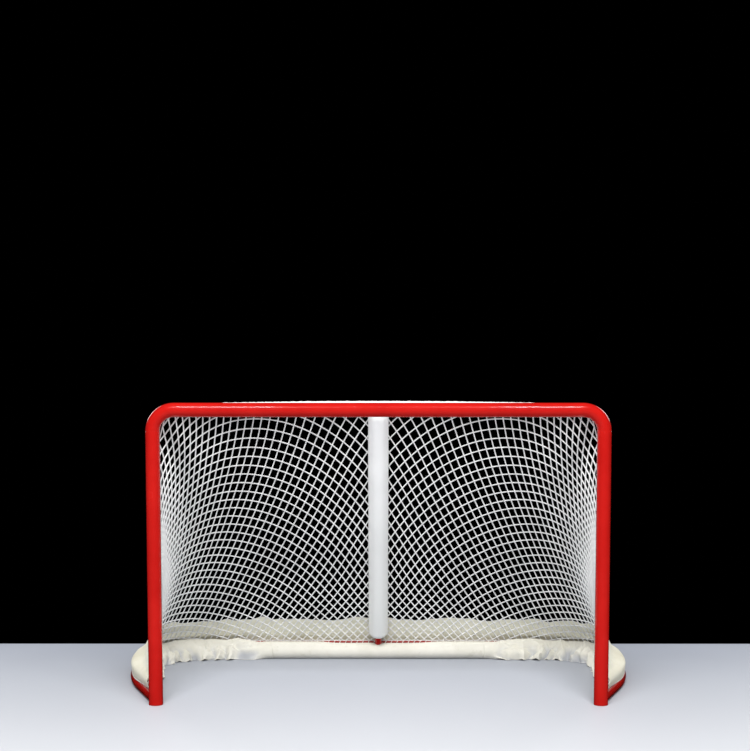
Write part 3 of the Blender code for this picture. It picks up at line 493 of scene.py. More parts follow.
def path_lengths(path):
    """Length of a path up to each of its points."""
    steps = np.linalg.norm(np.diff(path, axis=0), axis=1)
    return np.concatenate([[0], np.cumsum(steps)])


def points_along(path, lengths, places):
    """Points of a path at places along its length."""
    return np.array([np.interp(places, lengths, path[:, k]) for k in range(3)]).T


def coil_round(path, radius, pitch, turn_points=10):
    """Points of a cord wound round a path, one turn for each pitch."""
    path = np.array(path)
    lengths = path_lengths(path)
    count = max(8, int(lengths[-1] / pitch * turn_points))
    places = np.linspace(0, lengths[-1], count)
    points = points_along(path, lengths, places)
    along = np.gradient(points, axis=0)
    along /= np.linalg.norm(along, axis=1)[:, None]
    side = np.cross(along, (0.0, 0.0, 1.0))
    upright = np.linalg.norm(side, axis=1) < 0.3
    side[upright] = np.cross(along[upright], (1.0, 0.0, 0.0))
    side /= np.linalg.norm(side, axis=1)[:, None]
    up = np.cross(side, along)
    angle = (places / pitch * 2 * math.pi)[:, None]
    return points + radius * (np.cos(angle) * side + np.sin(angle) * up)


# Frame

END_STEP = 0.0015
POST_SIDES = 56
BASE_SIDES = 36
SHELF_SIDES = 32
ROD_SIDES = 16
STUB_RADIUS = ROD_RADIUS * 0.9


def build_posts():
    """Posts, corner bends and crossbar, one smooth line of tube."""
    low = CROSSBAR_Z - CORNER_BEND_RADIUS
    half = POST_X - CORNER_BEND_RADIUS
    # Short steps at the ends keep the long faces' shading level
    rises = [((0, 0, step),) for step in (END_STEP, low - 2 * END_STEP, END_STEP)]
    for side, hand in SIDES:
        shape = tube((side * POST_X, 0, 0), (0, 0, 1), POST_RADIUS, POST_SIDES, *rises)
        post = add_tube(hand + "_post_tube", hand + "_post", shape)
        wall = post.modifiers.new("wall", "SOLIDIFY")
        wall.thickness = POST_WALL
        wall.offset = -1
        bend = ((side * half, 0, low), (0, -side, 0), math.pi / 2, 24)
        shape = tube((side * POST_X, 0, low), (0, 0, 1), POST_RADIUS, POST_SIDES, bend)
        add_tube(hand + "_corner_bend", hand + "_corner_elbow", shape)
    bar = ((2 * half, 0, 0),)
    shape = tube((-half, 0, CROSSBAR_Z), (1, 0, 0), POST_RADIUS, POST_SIDES, bar)
    add_tube("crossbar_tube", "crossbar", shape)


def base_side_runs(side, z, short):
    """Bend, straight, bend and splay of the base's side, ending short of the post's axis."""
    corner = ((side * REAR_RUN, REAR_CENTRE_Y, z), (0, 0, -side), math.pi / 2, 28)
    bulge = ((side * SIDE_CENTRE_X, SIDE_END_Y, z), (0, 0, -side), BASE_SPLAY, 14)
    length = SPLAY_RUN - short
    splay = (-side * length * math.sin(BASE_SPLAY), -length * math.cos(BASE_SPLAY), 0)
    return corner, ((0, -SIDE_RUN, 0),), bulge, (splay,)


def build_base_tubes():
    """The base tube in its five pieces."""
    z = BASE_RADIUS
    back = ((2 * REAR_RUN, 0, 0),)
    shape = tube((-REAR_RUN, REAR_Y, z), (1, 0, 0), BASE_RADIUS, BASE_SIDES, back)
    add_tube("rear_rail_tube", "rear_rail", shape)
    for side, hand in SIDES:
        corner, *others = base_side_runs(side, z, POST_RADIUS * 0.97)
        start = (side * REAR_RUN, REAR_Y, z)
        shape = tube(start, (side, 0, 0), BASE_RADIUS, BASE_SIDES, corner)
        add_tube(hand + "_rear_bend_tube", hand + "_rear_bend", shape)
        start = (side * SIDE_END_X, REAR_CENTRE_Y, z)
        shape = tube(start, (0, -1, 0), BASE_RADIUS, BASE_SIDES, *others)
        add_tube(hand + "_side_rail_tube", hand + "_side_rail", shape)


def build_shelf_tubes():
    """The shelf's arc in its three pieces, running into the corner bends."""
    reach = math.acos((POST_RADIUS * 0.5 - SHELF_CENTRE_Y) / SHELF_ARC_RADIUS)
    split = SHELF_SPLIT_ANGLE
    spans = (
        ("rear_shelf_tube", "rear_shelf_bar", -split, split),
        ("left_shelf_tube", "left_shelf_arm", -split, -reach),
        ("right_shelf_tube", "right_shelf_arm", split, reach),
    )
    for name, node, start, end in spans:
        way = 1 if end > start else -1
        tangent = (way * math.cos(start), -way * math.sin(start), 0)
        steps = math.ceil(abs(end - start) / math.radians(1.6))
        arc = ((0, SHELF_CENTRE_Y, CROSSBAR_Z), (0, 0, -1), end - start, steps)
        place = (*shelf_plan(start), CROSSBAR_Z)
        add_tube(name, node, tube(place, tangent, SHELF_RADIUS, SHELF_SIDES, arc))


def build_centre_post():
    """The sloping post from the rear rail up to the shelf."""
    low = centre_axis(BASE_RADIUS)
    high = centre_axis(CROSSBAR_Z)
    along = (high - low).normalized()
    start = low + along * BASE_RADIUS * 0.7
    rise = (high - along * SHELF_RADIUS * 0.5 - start,)
    shape = tube(start, along, CENTRE_POST_RADIUS, SHELF_SIDES, rise)
    add_tube("centre_post_tube", "centre_post", shape)


WELD_RADIUS = 0.0026
WELD_SPACING = 0.0022


def weld_bead(centre, direction, radius, other_centre, other_axis, other_radius):
    """Points of a weld's bead where a small tube runs into a bigger one."""
    direction = Vector(direction).normalized()
    other_axis = Vector(other_axis).normalized()
    side = direction.cross(other_axis).normalized()
    up = side.cross(direction).normalized()
    flat_way = direction - other_axis * direction.dot(other_axis)
    a = flat_way.dot(flat_way)
    run = []
    count = max(28, int(2 * math.pi * radius / WELD_SPACING))
    for k in range(count):
        angle = 2 * math.pi * k / count
        rim = Vector(centre) + side * radius * math.cos(angle) + up * radius * math.sin(angle)
        away = rim - Vector(other_centre)
        flat_away = away - other_axis * away.dot(other_axis)
        b = 2 * flat_away.dot(flat_way)
        c = flat_away.dot(flat_away) - other_radius**2
        reach = (-b - math.sqrt(b * b - 4 * a * c)) / (2 * a)
        point = rim + direction * reach
        point.z = max(point.z, WELD_RADIUS * 1.2)
        run.append(point)
    return run


def build_welds():
    """Rippled beads where the base meets the posts, and at the ends of the centre post."""
    splay = Vector((math.sin(BASE_SPLAY), math.cos(BASE_SPLAY), 0))
    high = centre_axis(CROSSBAR_Z)
    low = centre_axis(BASE_RADIUS)
    middle = (low + high) / 2
    along = (high - low).normalized()
    runs = []
    for side, _ in SIDES:
        start = flip(Vector((POST_X, 0, BASE_RADIUS)) + splay * 0.2, side)
        post = ((side * POST_X, 0, 0), (0, 0, 1), POST_RADIUS)
        runs.append(weld_bead(start, flip(-splay, side), BASE_RADIUS, *post))
    for way, end, radius in ((-along, low, BASE_RADIUS), (along, high, SHELF_RADIUS)):
        runs.append(weld_bead(middle, way, CENTRE_POST_RADIUS, end, (1, 0, 0), radius))
    widths = [[1 + 0.18 * math.sin(k * 2.1) for k in range(len(run))] for run in runs]
    kind = (ENAMEL, "red_paint")
    add_cord("weld_beads", runs, WELD_RADIUS, 2, kind, (), widths, cyclic=True)


def add_stub(shape, foot, head):
    """A short round stand-off between two points, added to a shape."""
    foot, head = Vector(foot), Vector(head)
    way = head - foot
    turn = way.to_track_quat("Z", "X").to_matrix().to_4x4()
    bmesh.ops.create_cone(
        shape, cap_ends=True, segments=14, radius1=STUB_RADIUS, radius2=STUB_RADIUS,
        depth=way.length, matrix=Matrix.Translation((foot + head) / 2) @ turn,
    )


def spread(start, end, spacing):
    """Evenly spread places from start to end, no further apart than the spacing."""
    count = max(2, math.ceil(abs(end - start) / spacing) + 1)
    return [start + (end - start) * k / (count - 1) for k in range(count)]


def build_rods():
    """Lacing rods on their stand-offs: behind the posts and crossbar, and above the base tube."""
    inset = STANDOFF_SPACING / 8
    both = (True, True)
    seat = POST_RADIUS * 0.98
    seat_sin, seat_cos = seat * math.sin(ROD_ANGLE), seat * math.cos(ROD_ANGLE)

    def add_rod(name, node, shape, stubs):
        """A rod with its stand-offs, each from a foot to a head."""
        for foot, head in stubs:
            add_stub(shape, foot, head)
        add_tube(name, node, shape, ROD_ENAMEL, "rod_paint")

    for side, hand in SIDES:
        x = side * ROD_X
        rise = ((0, 0, POST_ROD_TOP - POST_ROD_BOTTOM),)
        shape = tube((x, ROD_Y, POST_ROD_BOTTOM), (0, 0, 1), ROD_RADIUS, ROD_SIDES, rise, caps=both)
        heights = spread(POST_ROD_BOTTOM + inset, POST_ROD_TOP - inset, STANDOFF_SPACING)
        stubs = [((side * (POST_X - seat_sin), seat_cos, z), (x, ROD_Y, z)) for z in heights]
        add_rod(hand + "_post_rod", hand + "_post_lacing_rod", shape, stubs)
    half = CROSSBAR_ROD_HALF_LENGTH
    z = CROSSBAR_ROD_Z
    bar = ((2 * half, 0, 0),)
    shape = tube((-half, ROD_Y, z), (1, 0, 0), ROD_RADIUS, ROD_SIDES, bar, caps=both)
    places = spread(-half + inset, half - inset, STANDOFF_SPACING)
    stubs = [((x, seat_cos, CROSSBAR_Z + seat_sin), (x, ROD_Y, z)) for x in places]
    add_rod("crossbar_rod", "crossbar_lacing_rod", shape, stubs)
    foot_z = BASE_RADIUS * 1.95
    y = REAR_Y + BASE_ROD_OFFSET
    back = ((2 * REAR_RUN, 0, 0),)
    shape = tube((-REAR_RUN, y, BASE_ROD_Z), (1, 0, 0), ROD_RADIUS, ROD_SIDES, back)
    places = spread(-REAR_RUN + inset, REAR_RUN - inset, STANDOFF_SPACING)
    stubs = [((x, y, foot_z), (x, y, BASE_ROD_Z)) for x in places]
    add_rod("rear_base_rod", "rear_base_lacing_rod", shape, stubs)
    for side, hand in SIDES:
        runs = base_side_runs(side, BASE_ROD_Z, BASE_ROD_START)
        start = (side * REAR_RUN, y, BASE_ROD_Z)
        shape = tube(start, (side, 0, 0), ROD_RADIUS, ROD_SIDES, *runs, caps=(False, True))
        places = spread(REAR_RUN + inset, BASE_LENGTH - BASE_ROD_START - inset, STANDOFF_SPACING)
        stubs = []
        for s in places:
            x, y_here = base_plan(s, BASE_ROD_OFFSET)
            stubs.append(((side * x, y_here, foot_z), (side * x, y_here, BASE_ROD_Z)))
        add_rod(hand + "_base_rod", hand + "_base_lacing_rod", shape, stubs)


# Net

NET_SIDE = 0.0369
NET_STRAND_RADIUS = 0.0030
# Rings of diamonds at the cut net's shelf edge, and at its base edge behind and beside
NET_INNER_RING = 11.937
NET_OUTER_BACK = 31.885
NET_OUTER_SIDE = 34.354
# How far each edge's lacing is bunched away from even spacing
SHELF_BUNCH = 0.0389
BASE_BUNCH = 0.0113
POST_BUNCH = 0.0983
NET_PULL = 0.0569
# Turns of the slow settling: as even springs, as cords of a set length, then combed smooth
EVEN_TURNS = 900
DRAWN_TURNS = 700
COMBED_TURNS = 24
# The net's widest place, as a share of the distance from the viewer, at the base and higher up
NET_WIDE_LOW = 0.1500
NET_WIDE_HIGH = 0.1426
NET_WIDE_HIGH_Z = 0.165
VIEWER_DISTANCE = 6.7
NET_BASE_Z = 0.083
NET_SHELF_OFFSET = SHELF_RADIUS + 0.004
NET_FRONT_Y = 0.055
TOP_NET_Z = CROSSBAR_Z + SHELF_RADIUS + 0.003
KNOT_SWELL = 1.45
# Settling: how much of its speed a knot keeps, and how much of the way to balance it moves
GLIDE = 0.97
EASE = 0.5
# A side that the cut leaves shorter than this share of a whole one is tied on at this share
LEAST_SHARE = 1 / 6
# The net hangs behind the centre post's plane where it is this near the middle
CENTRE_HALF_WIDTH = 0.018
NET_SHELF_END = math.acos((NET_FRONT_Y - SHELF_CENTRE_Y) / (SHELF_ARC_RADIUS + NET_SHELF_OFFSET))


def bunched(share, amount):
    """Place along an edge, 0 to 1, for an even share of its lacing."""
    return share + amount * math.sin(math.pi * share)


def shelf_edge(turn):
    """Net's edge along the shelf, turn 0 at the middle of the back and 1 at the post."""
    angle = NET_SHELF_END * bunched(turn, SHELF_BUNCH)
    return np.array((*shelf_plan(angle, NET_SHELF_OFFSET), CROSSBAR_Z))


def base_edge(turn):
    """Net's edge along the rod above the base tube."""
    s = (BASE_LENGTH - BASE_ROD_START) * bunched(turn, BASE_BUNCH)
    return np.array((*base_plan(s, BASE_ROD_OFFSET), NET_BASE_Z))


def post_edge(fall):
    """Net's edge down the post's rod, fall 0 at the shelf and 1 at the base."""
    y = ROD_Y + ROD_RADIUS + 0.003
    top, bottom = (ROD_X, y, POST_ROD_TOP), (ROD_X, y, POST_ROD_BOTTOM)
    corners = np.array([shelf_edge(1), top, bottom, base_edge(1)])
    lengths = path_lengths(corners)
    return points_along(corners, lengths, bunched(fall, POST_BUNCH) * lengths[-1])


def outer_ring(turn):
    """Radius of the cut net's outer edge, in diamonds."""
    return NET_OUTER_BACK + (NET_OUTER_SIDE - NET_OUTER_BACK) * turn


def cut_inside(h, w):
    """True on the half ring of netting that is cut for the back and sides."""
    turn = math.atan2(h, w) / (math.pi / 2)
    return w > 1e-9 and NET_INNER_RING < math.hypot(h, w) < outer_ring(turn)


def laced_place(a, b, step_a, step_b):
    """Where a strand from knot (a, b) crosses the cut's edge: its place, and share of a side."""
    low, high = 0.0, 1.0
    for _ in range(30):
        middle = (low + high) / 2
        if cut_inside((a + step_a * middle) / 2, (b + step_b * middle) / 2):
            low = middle
        else:
            high = middle
    h, w = (a + step_a * low) / 2, (b + step_b * low) / 2
    turn = math.atan2(h, w) / (math.pi / 2)
    radius = math.hypot(h, w)
    if w < 1e-3:
        fall = (radius - NET_INNER_RING) / (NET_OUTER_SIDE - NET_INNER_RING)
        return post_edge(fall), low
    if radius < NET_INNER_RING + 0.05:
        return shelf_edge(turn), low
    return base_edge(turn), low


def cut_net():
    """The right half's netting before it settles.

    Gives the knots, the laced ends, the places of both, which places are fixed, the sides between
    them and the sides' lengths at rest.
    """
    knots, places, fixed = {}, [], []
    count = int(2 * max(NET_OUTER_BACK, NET_OUTER_SIDE)) + 3
    for a in range(count):
        for b in range(1, count):
            if (a + b) % 2 == 0 and cut_inside(a / 2, b / 2):
                turn = math.atan2(a, b) / (math.pi / 2)
                width = outer_ring(turn) - NET_INNER_RING
                fall = (math.hypot(a, b) / 2 - NET_INNER_RING) / width
                knots[(a, b)] = len(places)
                places.append(shelf_edge(turn) * (1 - fall) + base_edge(turn) * fall)
                fixed.append(False)
    ends, sides, rests = {}, [], []
    for (a, b), index in knots.items():
        for step_a, step_b in ((1, 1), (1, -1), (-1, 1), (-1, -1)):
            if a == 0 and step_a == -1:
                continue
            share = 1.0
            other = knots.get((a + step_a, b + step_b))
            if other is None:
                place, share = laced_place(a, b, step_a, step_b)
                other = len(places)
                ends[(a, b, step_a, step_b)] = other
                places.append(place)
                fixed.append(True)
            elif other < index:
                continue
            sides.append((index, other))
            rests.append(NET_SIDE * max(share, LEAST_SHARE))
    return knots, ends, np.array(places), np.array(fixed), np.array(sides).T, np.array(rests)


def stretched_net():
    """Knots, laced ends and their places in the right half, hung from its edges and drawn tight."""
    knots, ends, places, fixed, (first, second), rests = cut_net()
    on_middle = np.zeros(len(places), bool)
    on_middle[[index for (a, _), index in knots.items() if a == 0]] = True
    stiff = NET_SIDE / rests
    pull = NET_PULL * stiff
    speed = np.zeros_like(places)
    slope = (REAR_Y - SHELF_DEPTH) / (CROSSBAR_Z - BASE_RADIUS)
    clearance = (CENTRE_POST_RADIUS + 0.006) / math.cos(math.atan(slope))
    for turn in range(EVEN_TURNS + DRAWN_TURNS + COMBED_TURNS):
        way = places[second] - places[first]
        length = np.linalg.norm(way, axis=1)
        if EVEN_TURNS <= turn < EVEN_TURNS + DRAWN_TURNS:
            strength = pull + stiff * np.maximum(0, 1 - rests / length)
            weight = pull + stiff * (length > rests)
        else:
            strength = weight = stiff
        glide = GLIDE if turn < EVEN_TURNS + DRAWN_TURNS else 0.0
        force = way * strength[:, None]
        total = np.zeros_like(places)
        for k in range(3):
            total[:, k] = np.bincount(first, force[:, k], len(places))
            total[:, k] -= np.bincount(second, force[:, k], len(places))
        weight = np.bincount(first, weight, len(places)) + np.bincount(second, weight, len(places))
        total[on_middle, 0] = 0
        speed = glide * speed + EASE * total / weight[:, None]
        speed[fixed] = 0
        places = places + speed
        # Nothing passes through the centre post
        behind = SHELF_DEPTH + (CROSSBAR_Z - places[:, 2]) * slope + clearance
        near_middle = np.abs(places[:, 0]) < CENTRE_HALF_WIDTH
        inside = ~fixed & near_middle & (places[:, 1] < behind)
        places[inside, 1] = behind[inside]
        speed[inside, 1] = 0
        # The sides are laced in, so that no knot shows past the outer edge of the post
        rise = np.clip((places[:, 2] - NET_BASE_Z) / (NET_WIDE_HIGH_Z - NET_BASE_Z), 0, 1)
        widest = NET_WIDE_LOW + (NET_WIDE_HIGH - NET_WIDE_LOW) * rise
        widest = widest * (VIEWER_DISTANCE + places[:, 1])
        outside = ~fixed & (places[:, 0] > widest)
        places[outside, 0] = widest[outside]
        speed[outside, 0] = 0
    return knots, ends, places


def smooth_run(points, knots_at):
    """A strand through its knots as a smooth run, and its widths, swollen at each knot."""
    points = np.array(points)
    tangent = np.gradient(points, axis=0)
    run, widths = [], []
    # Each side is a cubic from knot to knot, with points close beside each knot
    for k in range(len(points) - 1):
        for h in (0.0, 0.12, 0.5, 0.88):
            run.append(
                (2 * h**3 - 3 * h**2 + 1) * points[k] + (h**3 - 2 * h**2 + h) * tangent[k]
                + (-2 * h**3 + 3 * h**2) * points[k + 1] + (h**3 - h**2) * tangent[k + 1]
            )
            widths.append(KNOT_SWELL if knots_at[k] and h == 0.0 else 1.0)
    return np.array(run + [points[-1]]), np.array(widths + [1.0])


def net_runs(knots, ends, places):
    """Strands of the right half, each an unbroken run of points and which of them are knots."""
    runs = []
    for step_b in (1, -1):
        for start in knots:
            a, b = start
            if (a - 1, b - step_b) in knots and a != 0:
                continue
            run, at_knot = [], []
            before = ends.get((a, b, -1, -step_b))
            if before is not None:
                run.append(places[before])
                at_knot.append(False)
            while (a, b) in knots:
                run.append(places[knots[(a, b)]])
                at_knot.append(True)
                after = ends.get((a, b, 1, step_b))
                if after is not None:
                    run.append(places[after])
                    at_knot.append(False)
                a, b = a + 1, b + step_b
            if len(run) > 1:
                runs.append((run, at_knot))
    return runs


def build_net():
    """Back and side netting as smooth strands. Gives the right half's knots and their places."""
    knots, ends, places = stretched_net()
    runs = [smooth_run(*run) for run in net_runs(knots, ends, places)]
    for side, hand in SIDES:
        panels = {"back": ([], []), "side": ([], [])}
        for points, widths in runs:
            points = points * (side, 1, 1)
            middle = points[len(points) // 2]
            # The panels meet where the cut turns 45 degrees from the middle of the back
            turn = math.atan2(abs(middle[0]), max(middle[1] - SHELF_CENTRE_Y, 0.01))
            panel_runs, panel_widths = panels["side" if turn > NET_SHELF_END / 2 else "back"]
            panel_runs.append(points)
            panel_widths.append(widths)
        for panel, (panel_runs, panel_widths) in panels.items():
            name, node = hand + "_" + panel + "_netting", hand + "_" + panel + "_net"
            add_cord(name, panel_runs, NET_STRAND_RADIUS, 1, NET_CORD, (node,), panel_widths)
    return knots, places


def build_top_netting():
    """Flat netting from the crossbar's rod back over the shelf's arc."""
    count = int(2 * NET_INNER_RING) + 2
    # Steps of a strand between knots: fine ones find its ends, and every fourth is kept
    fine_steps, kept_step = 8, 4

    def place(a, b):
        """Point of the top net over knot (a, b), sagging slightly in its middle."""
        angle = math.atan2(a, b) / (math.pi / 2) * NET_SHELF_END
        x, y = shelf_plan(angle, 0.004)
        share = math.hypot(a, b) / 2 / NET_INNER_RING
        sag = 0.006 * (1 - share**2)
        return np.array((share * x, share * y, TOP_NET_Z - sag))

    def inside(a, b):
        """True over the shelf and behind the crossbar's rod."""
        over_shelf = b > 0 and math.hypot(a, b) / 2 < NET_INNER_RING
        return over_shelf and place(a, b)[1] > NET_FRONT_Y - 0.002

    runs, widths = [], []
    reach = 2 * count * fine_steps
    for step in (1, -1):
        for line in range(-2 * count, 2 * count + 1, 2):
            along = [k / fine_steps for k in range(-reach, reach + 1)]
            fine = [(a, (a - line) * step) for a in along if inside(a, (a - line) * step)]
            if len(fine) < kept_step:
                continue
            run, swells = [], []
            for n, (a, b) in enumerate(fine):
                near_knot = abs(a - round(a)) < 0.01
                if n in (0, len(fine) - 1) or near_knot or n % kept_step == 0:
                    run.append(place(a, b))
                    swells.append(KNOT_SWELL if near_knot else 1.0)
            runs.append(run)
            widths.append(swells)
    add_cord("top_netting", runs, NET_STRAND_RADIUS, 1, NET_CORD, ("top_net",), widths)


def both_halves(edge, turns):
    """Points of an edge of the net, over turns from -1 at the left post to 1 at the right."""
    return [flip(edge(abs(turn)), 1 if turn > 0 else -1) for turn in turns]


def build_lacing():
    """Edge cords of the net, and the cord that winds each edge to its rod or tube."""

    def add_binding(hand, path, reach, turn_points=10, pitch=LACE_PITCH, radius=LACE_RADIUS):
        """A cord wound round a path, in place of the CAD lacing."""
        coil = coil_round(path, reach, pitch, turn_points)
        add_cord(hand + "_binding", [coil], radius, 1, LACE, (hand + "_lacing",))

    def add_selvedge(hand, edge):
        """The cord along an edge of the net."""
        add_cord(hand + "_selvedge", [edge], EDGE_CORD_RADIUS, 2, NET_CORD)

    rod_y = ROD_Y + ROD_RADIUS * 0.6
    for side, hand in SIDES:
        heights = np.linspace(POST_ROD_TOP - 0.01, POST_ROD_BOTTOM + 0.01, 60)
        add_binding(hand + "_post", [(side * ROD_X, rod_y, z) for z in heights], 0.0088)
        falls = np.linspace(0.02, 0.99, 60)
        add_selvedge(hand + "_post", [flip(post_edge(fall), side) for fall in falls])
    half = CROSSBAR_ROD_HALF_LENGTH - 0.005
    path = [(x, rod_y, CROSSBAR_ROD_Z) for x in np.linspace(-half, half, 60)]
    add_binding("crossbar", path, 0.0082)
    add_selvedge("crossbar", [(x, NET_FRONT_Y, TOP_NET_Z) for x in np.linspace(-0.86, 0.86, 60)])
    span = NET_SHELF_END - 0.02
    path = [(*shelf_plan(a), CROSSBAR_Z) for a in np.linspace(-span, span, 160)]
    add_binding("shelf", path, SHELF_RADIUS + 0.0022, 16)
    turns = np.linspace(-1, 1, 220)
    add_selvedge("shelf", both_halves(shelf_edge, turns))
    edge = both_halves(base_edge, turns)
    add_selvedge("base", edge)
    path = [point - Vector((0, 0, 0.006)) for point in edge]
    add_binding("base", path, 0.0092, pitch=BASE_LACE_PITCH, radius=BASE_LACE_RADIUS)


# Soft pieces

CLOTH_THICKNESS = 0.0011
# Gaps from a tube or the roll to the middle of the canvas round it
COVER_GAP = 0.0018
COVER_LEAST_GAP = 0.0025
COVER_LEAST_Z = 0.0012
# Shares of the cover's and the skirt's cloth that rise to the crest and up over the base tube
COVER_RISE = 0.16
SKIRT_RISE = 0.16


def ripple(*place):
    """Smooth noise from about -1 to 1 at a place of three numbers."""
    return noise.noise(Vector(place))


def limited(value):
    """A value kept between 0 and 1."""
    return min(max(value, 0.0), 1.0)


def smooth_step(value):
    """0 below 0, 1 above 1, and a smooth rise between."""
    value = limited(value)
    return value * value * (3 - 2 * value)


def cloth_grid(columns, rows, place, flat_size, shade_and_darkening):
    """A sheet of cloth as a grid, each point placed by a rule and darkened by another, its UV map
    in metres.
    """
    shape = bmesh.new()
    depths = shape.verts.layers.float.new("shade_and_darkening")
    uv = shape.loops.layers.uv.new("cloth")
    bmesh.ops.create_grid(shape, x_segments=columns, y_segments=rows, size=0.5)
    for face in shape.faces:
        for loop in face.loops:
            u, v = loop.vert.co.x + 0.5, loop.vert.co.y + 0.5
            loop[uv].uv = (u * flat_size[0], v * flat_size[1])
    for vert in shape.verts:
        u, v = limited(vert.co.x + 0.5), limited(vert.co.y + 0.5)
        vert[depths] = shade_and_darkening(u, v)
        vert.co = place(u, v)
    return shape


def add_canvas(name, node, shape, material):
    """A thin canvas piece from a grid of cloth, and the cloth's area."""
    mesh = mesh_from(shape, name, merge=0)
    area = sum(polygon.area for polygon in mesh.polygons)
    canvas = add_piece(name, mesh, material, "white_canvas", (node,))
    thickness = canvas.modifiers.new("thickness", "SOLIDIFY")
    thickness.thickness = CLOTH_THICKNESS
    thickness.offset = 0
    return canvas, area


def extruded(outline, step, count):
    """A closed shape that carries an outline of points on by a number of equal steps."""
    shape = bmesh.new()
    verts = [shape.verts.new(point) for point in outline]
    edges = [shape.edges.new((verts[k], verts[(k + 1) % len(verts)])) for k in range(len(verts))]
    bmesh.ops.contextual_create(shape, geom=edges)
    for _ in range(count):
        edges = run_straight(shape, edges, step)
    bmesh.ops.contextual_create(shape, geom=edges)
    return shape


def lay_cloth(shape, rule):
    """Give a shape's corners their places in the cloth's UV map, by a rule of their points."""
    uv = shape.loops.layers.uv.new("cloth")
    for face in shape.faces:
        for loop in face.loops:
            loop[uv].uv = rule(loop.vert.co)


def build_roll():
    """Round canvas pad over the rear rail, flat on the ice, with sewn ends."""
    grip = BASE_RADIUS + 0.0008
    radius = ROLL_RADIUS
    half = ROLL_HALF_LENGTH
    # Section: round over the top and front, flat on the ice, and up round the tube's front
    start = math.acos((ROLL_INSET - 0.0023) / radius)
    section = []
    for angle in np.linspace(start, math.radians(252), 30):
        section.append((-ROLL_INSET + radius * math.cos(angle), radius + radius * math.sin(angle)))
    section += [(-0.026, 0.0), (-0.0172, 0.0)]
    for degrees in np.linspace(228, 96, 12):
        angle = math.radians(degrees)
        section.append((grip * math.cos(angle), BASE_RADIUS + grip * math.sin(angle)))
    count = 96
    outline = [(-half, REAR_Y + offset, max(z, 0.0)) for offset, z in section]
    shape = extruded(outline, (2 * half / count, 0, 0), count)
    lay_cloth(shape, lambda point: (point.x, point.z * 2 + point.y))
    for vert in shape.verts:
        x, y, z = vert.co
        outer = (y - REAR_Y) < -0.02 or z > 0.05
        if not outer or z < 0.002:
            continue
        swell = 0.0016 * ripple(x * 6, z * 14, 2.0)
        swell += 0.0009 * ripple(x * 28, z * 20, 5.0)
        end = min(1.0, (half - abs(x)) / 0.02)
        pinch = -0.0035 * (1 - end) ** 2
        away = Vector((0, y - (REAR_Y - ROLL_INSET), z - radius))
        away.normalize()
        vert.co += away * (swell + pinch)
        # Its top sits higher on both sides of the centre post's pad
        if z > 0.055:
            beside_pad = smooth_step((abs(x) - 0.19) / 0.12)
            vert.co.z += 0.0075 * beside_pad * smooth_step((z - 0.055) / 0.018)
        vert.co.z = max(vert.co.z, 0.0)
    mesh = mesh_from(shape, "rear_rail_roll")
    roll = add_piece("rear_rail_roll", mesh, DUCK_CANVAS, "white_canvas", ("rear_base_pad",))


def drift(place):
    """Three slow noises at a place, one for each direction, the same on every run."""
    return Vector([noise.noise(place + Vector((19.1, 7.3, 3.7)) * k) for k in (1, 2, 3)])


def crumple(s, v, seed):
    """Height of crumpled canvas from about -1 to 1: slack above, sharp tucks fanning out below."""
    place = Vector((s * 7.0, v * 1.3, seed))
    bent = place + drift(place * 0.8) * 0.6
    broad = 1 - 3.2 * abs(noise.noise(bent))
    fine = 1 - 3.0 * abs(noise.noise(bent * 3.1 + Vector((5.0, 1.0, 0.0))))
    sway = 1.5 * ripple(s * 5.0, v * 1.1, seed + 8.0)
    tuck = abs((s * 10.5 + sway) % 1.0 - 0.5) * 4 - 1
    low = smooth_step((v - 0.3) / 0.45)
    return 0.45 * broad + 0.2 * fine - 0.2 + 0.75 * tuck * low


def cover_section(s, v, start, end, seed):
    """Offset, height and looseness of the smooth cover, tight on the roll and loose beyond."""
    angle = math.radians(78 + 172 * v)
    grip = ROLL_RADIUS + COVER_GAP
    tight = (-ROLL_INSET + grip * math.cos(angle), ROLL_RADIUS + grip * math.sin(angle))
    share = limited((s - start) / (end - start))
    widening = smooth_step((share - 0.35) / 0.3)
    reach = COVER_REACH_BACK + (COVER_REACH_SIDE - COVER_REACH_BACK) * widening
    reach += 0.020 * (0.6 - 3 * abs(ripple(s * 13.0, 0.3, seed + 2.0)))
    reach *= 1 - 0.72 * smooth_step((share - 0.74) / 0.2)
    crest = COVER_CREST + 0.007 * ripple(s * 8.0, 0.7, seed + 4.0)
    if v < COVER_RISE:
        rise = v / COVER_RISE
        loose = (-0.002 - 0.012 * rise, 0.058 + (crest - 0.058) * math.sin(rise * math.pi / 2))
    else:
        fall = min(1.0, (v - COVER_RISE) / (1 - COVER_RISE))
        swell = 0.012 * math.sin(fall * math.pi)
        loose = (-0.014 - (reach - 0.014) * fall**0.9 - swell, crest * (1 - fall) ** 1.1)
    loosened = smooth_step((s - ROLL_HALF_LENGTH + 0.05) / 0.12)
    offset = tight[0] + (loose[0] - tight[0]) * loosened
    z = tight[1] + (loose[1] - tight[1]) * loosened
    return offset, z, loosened


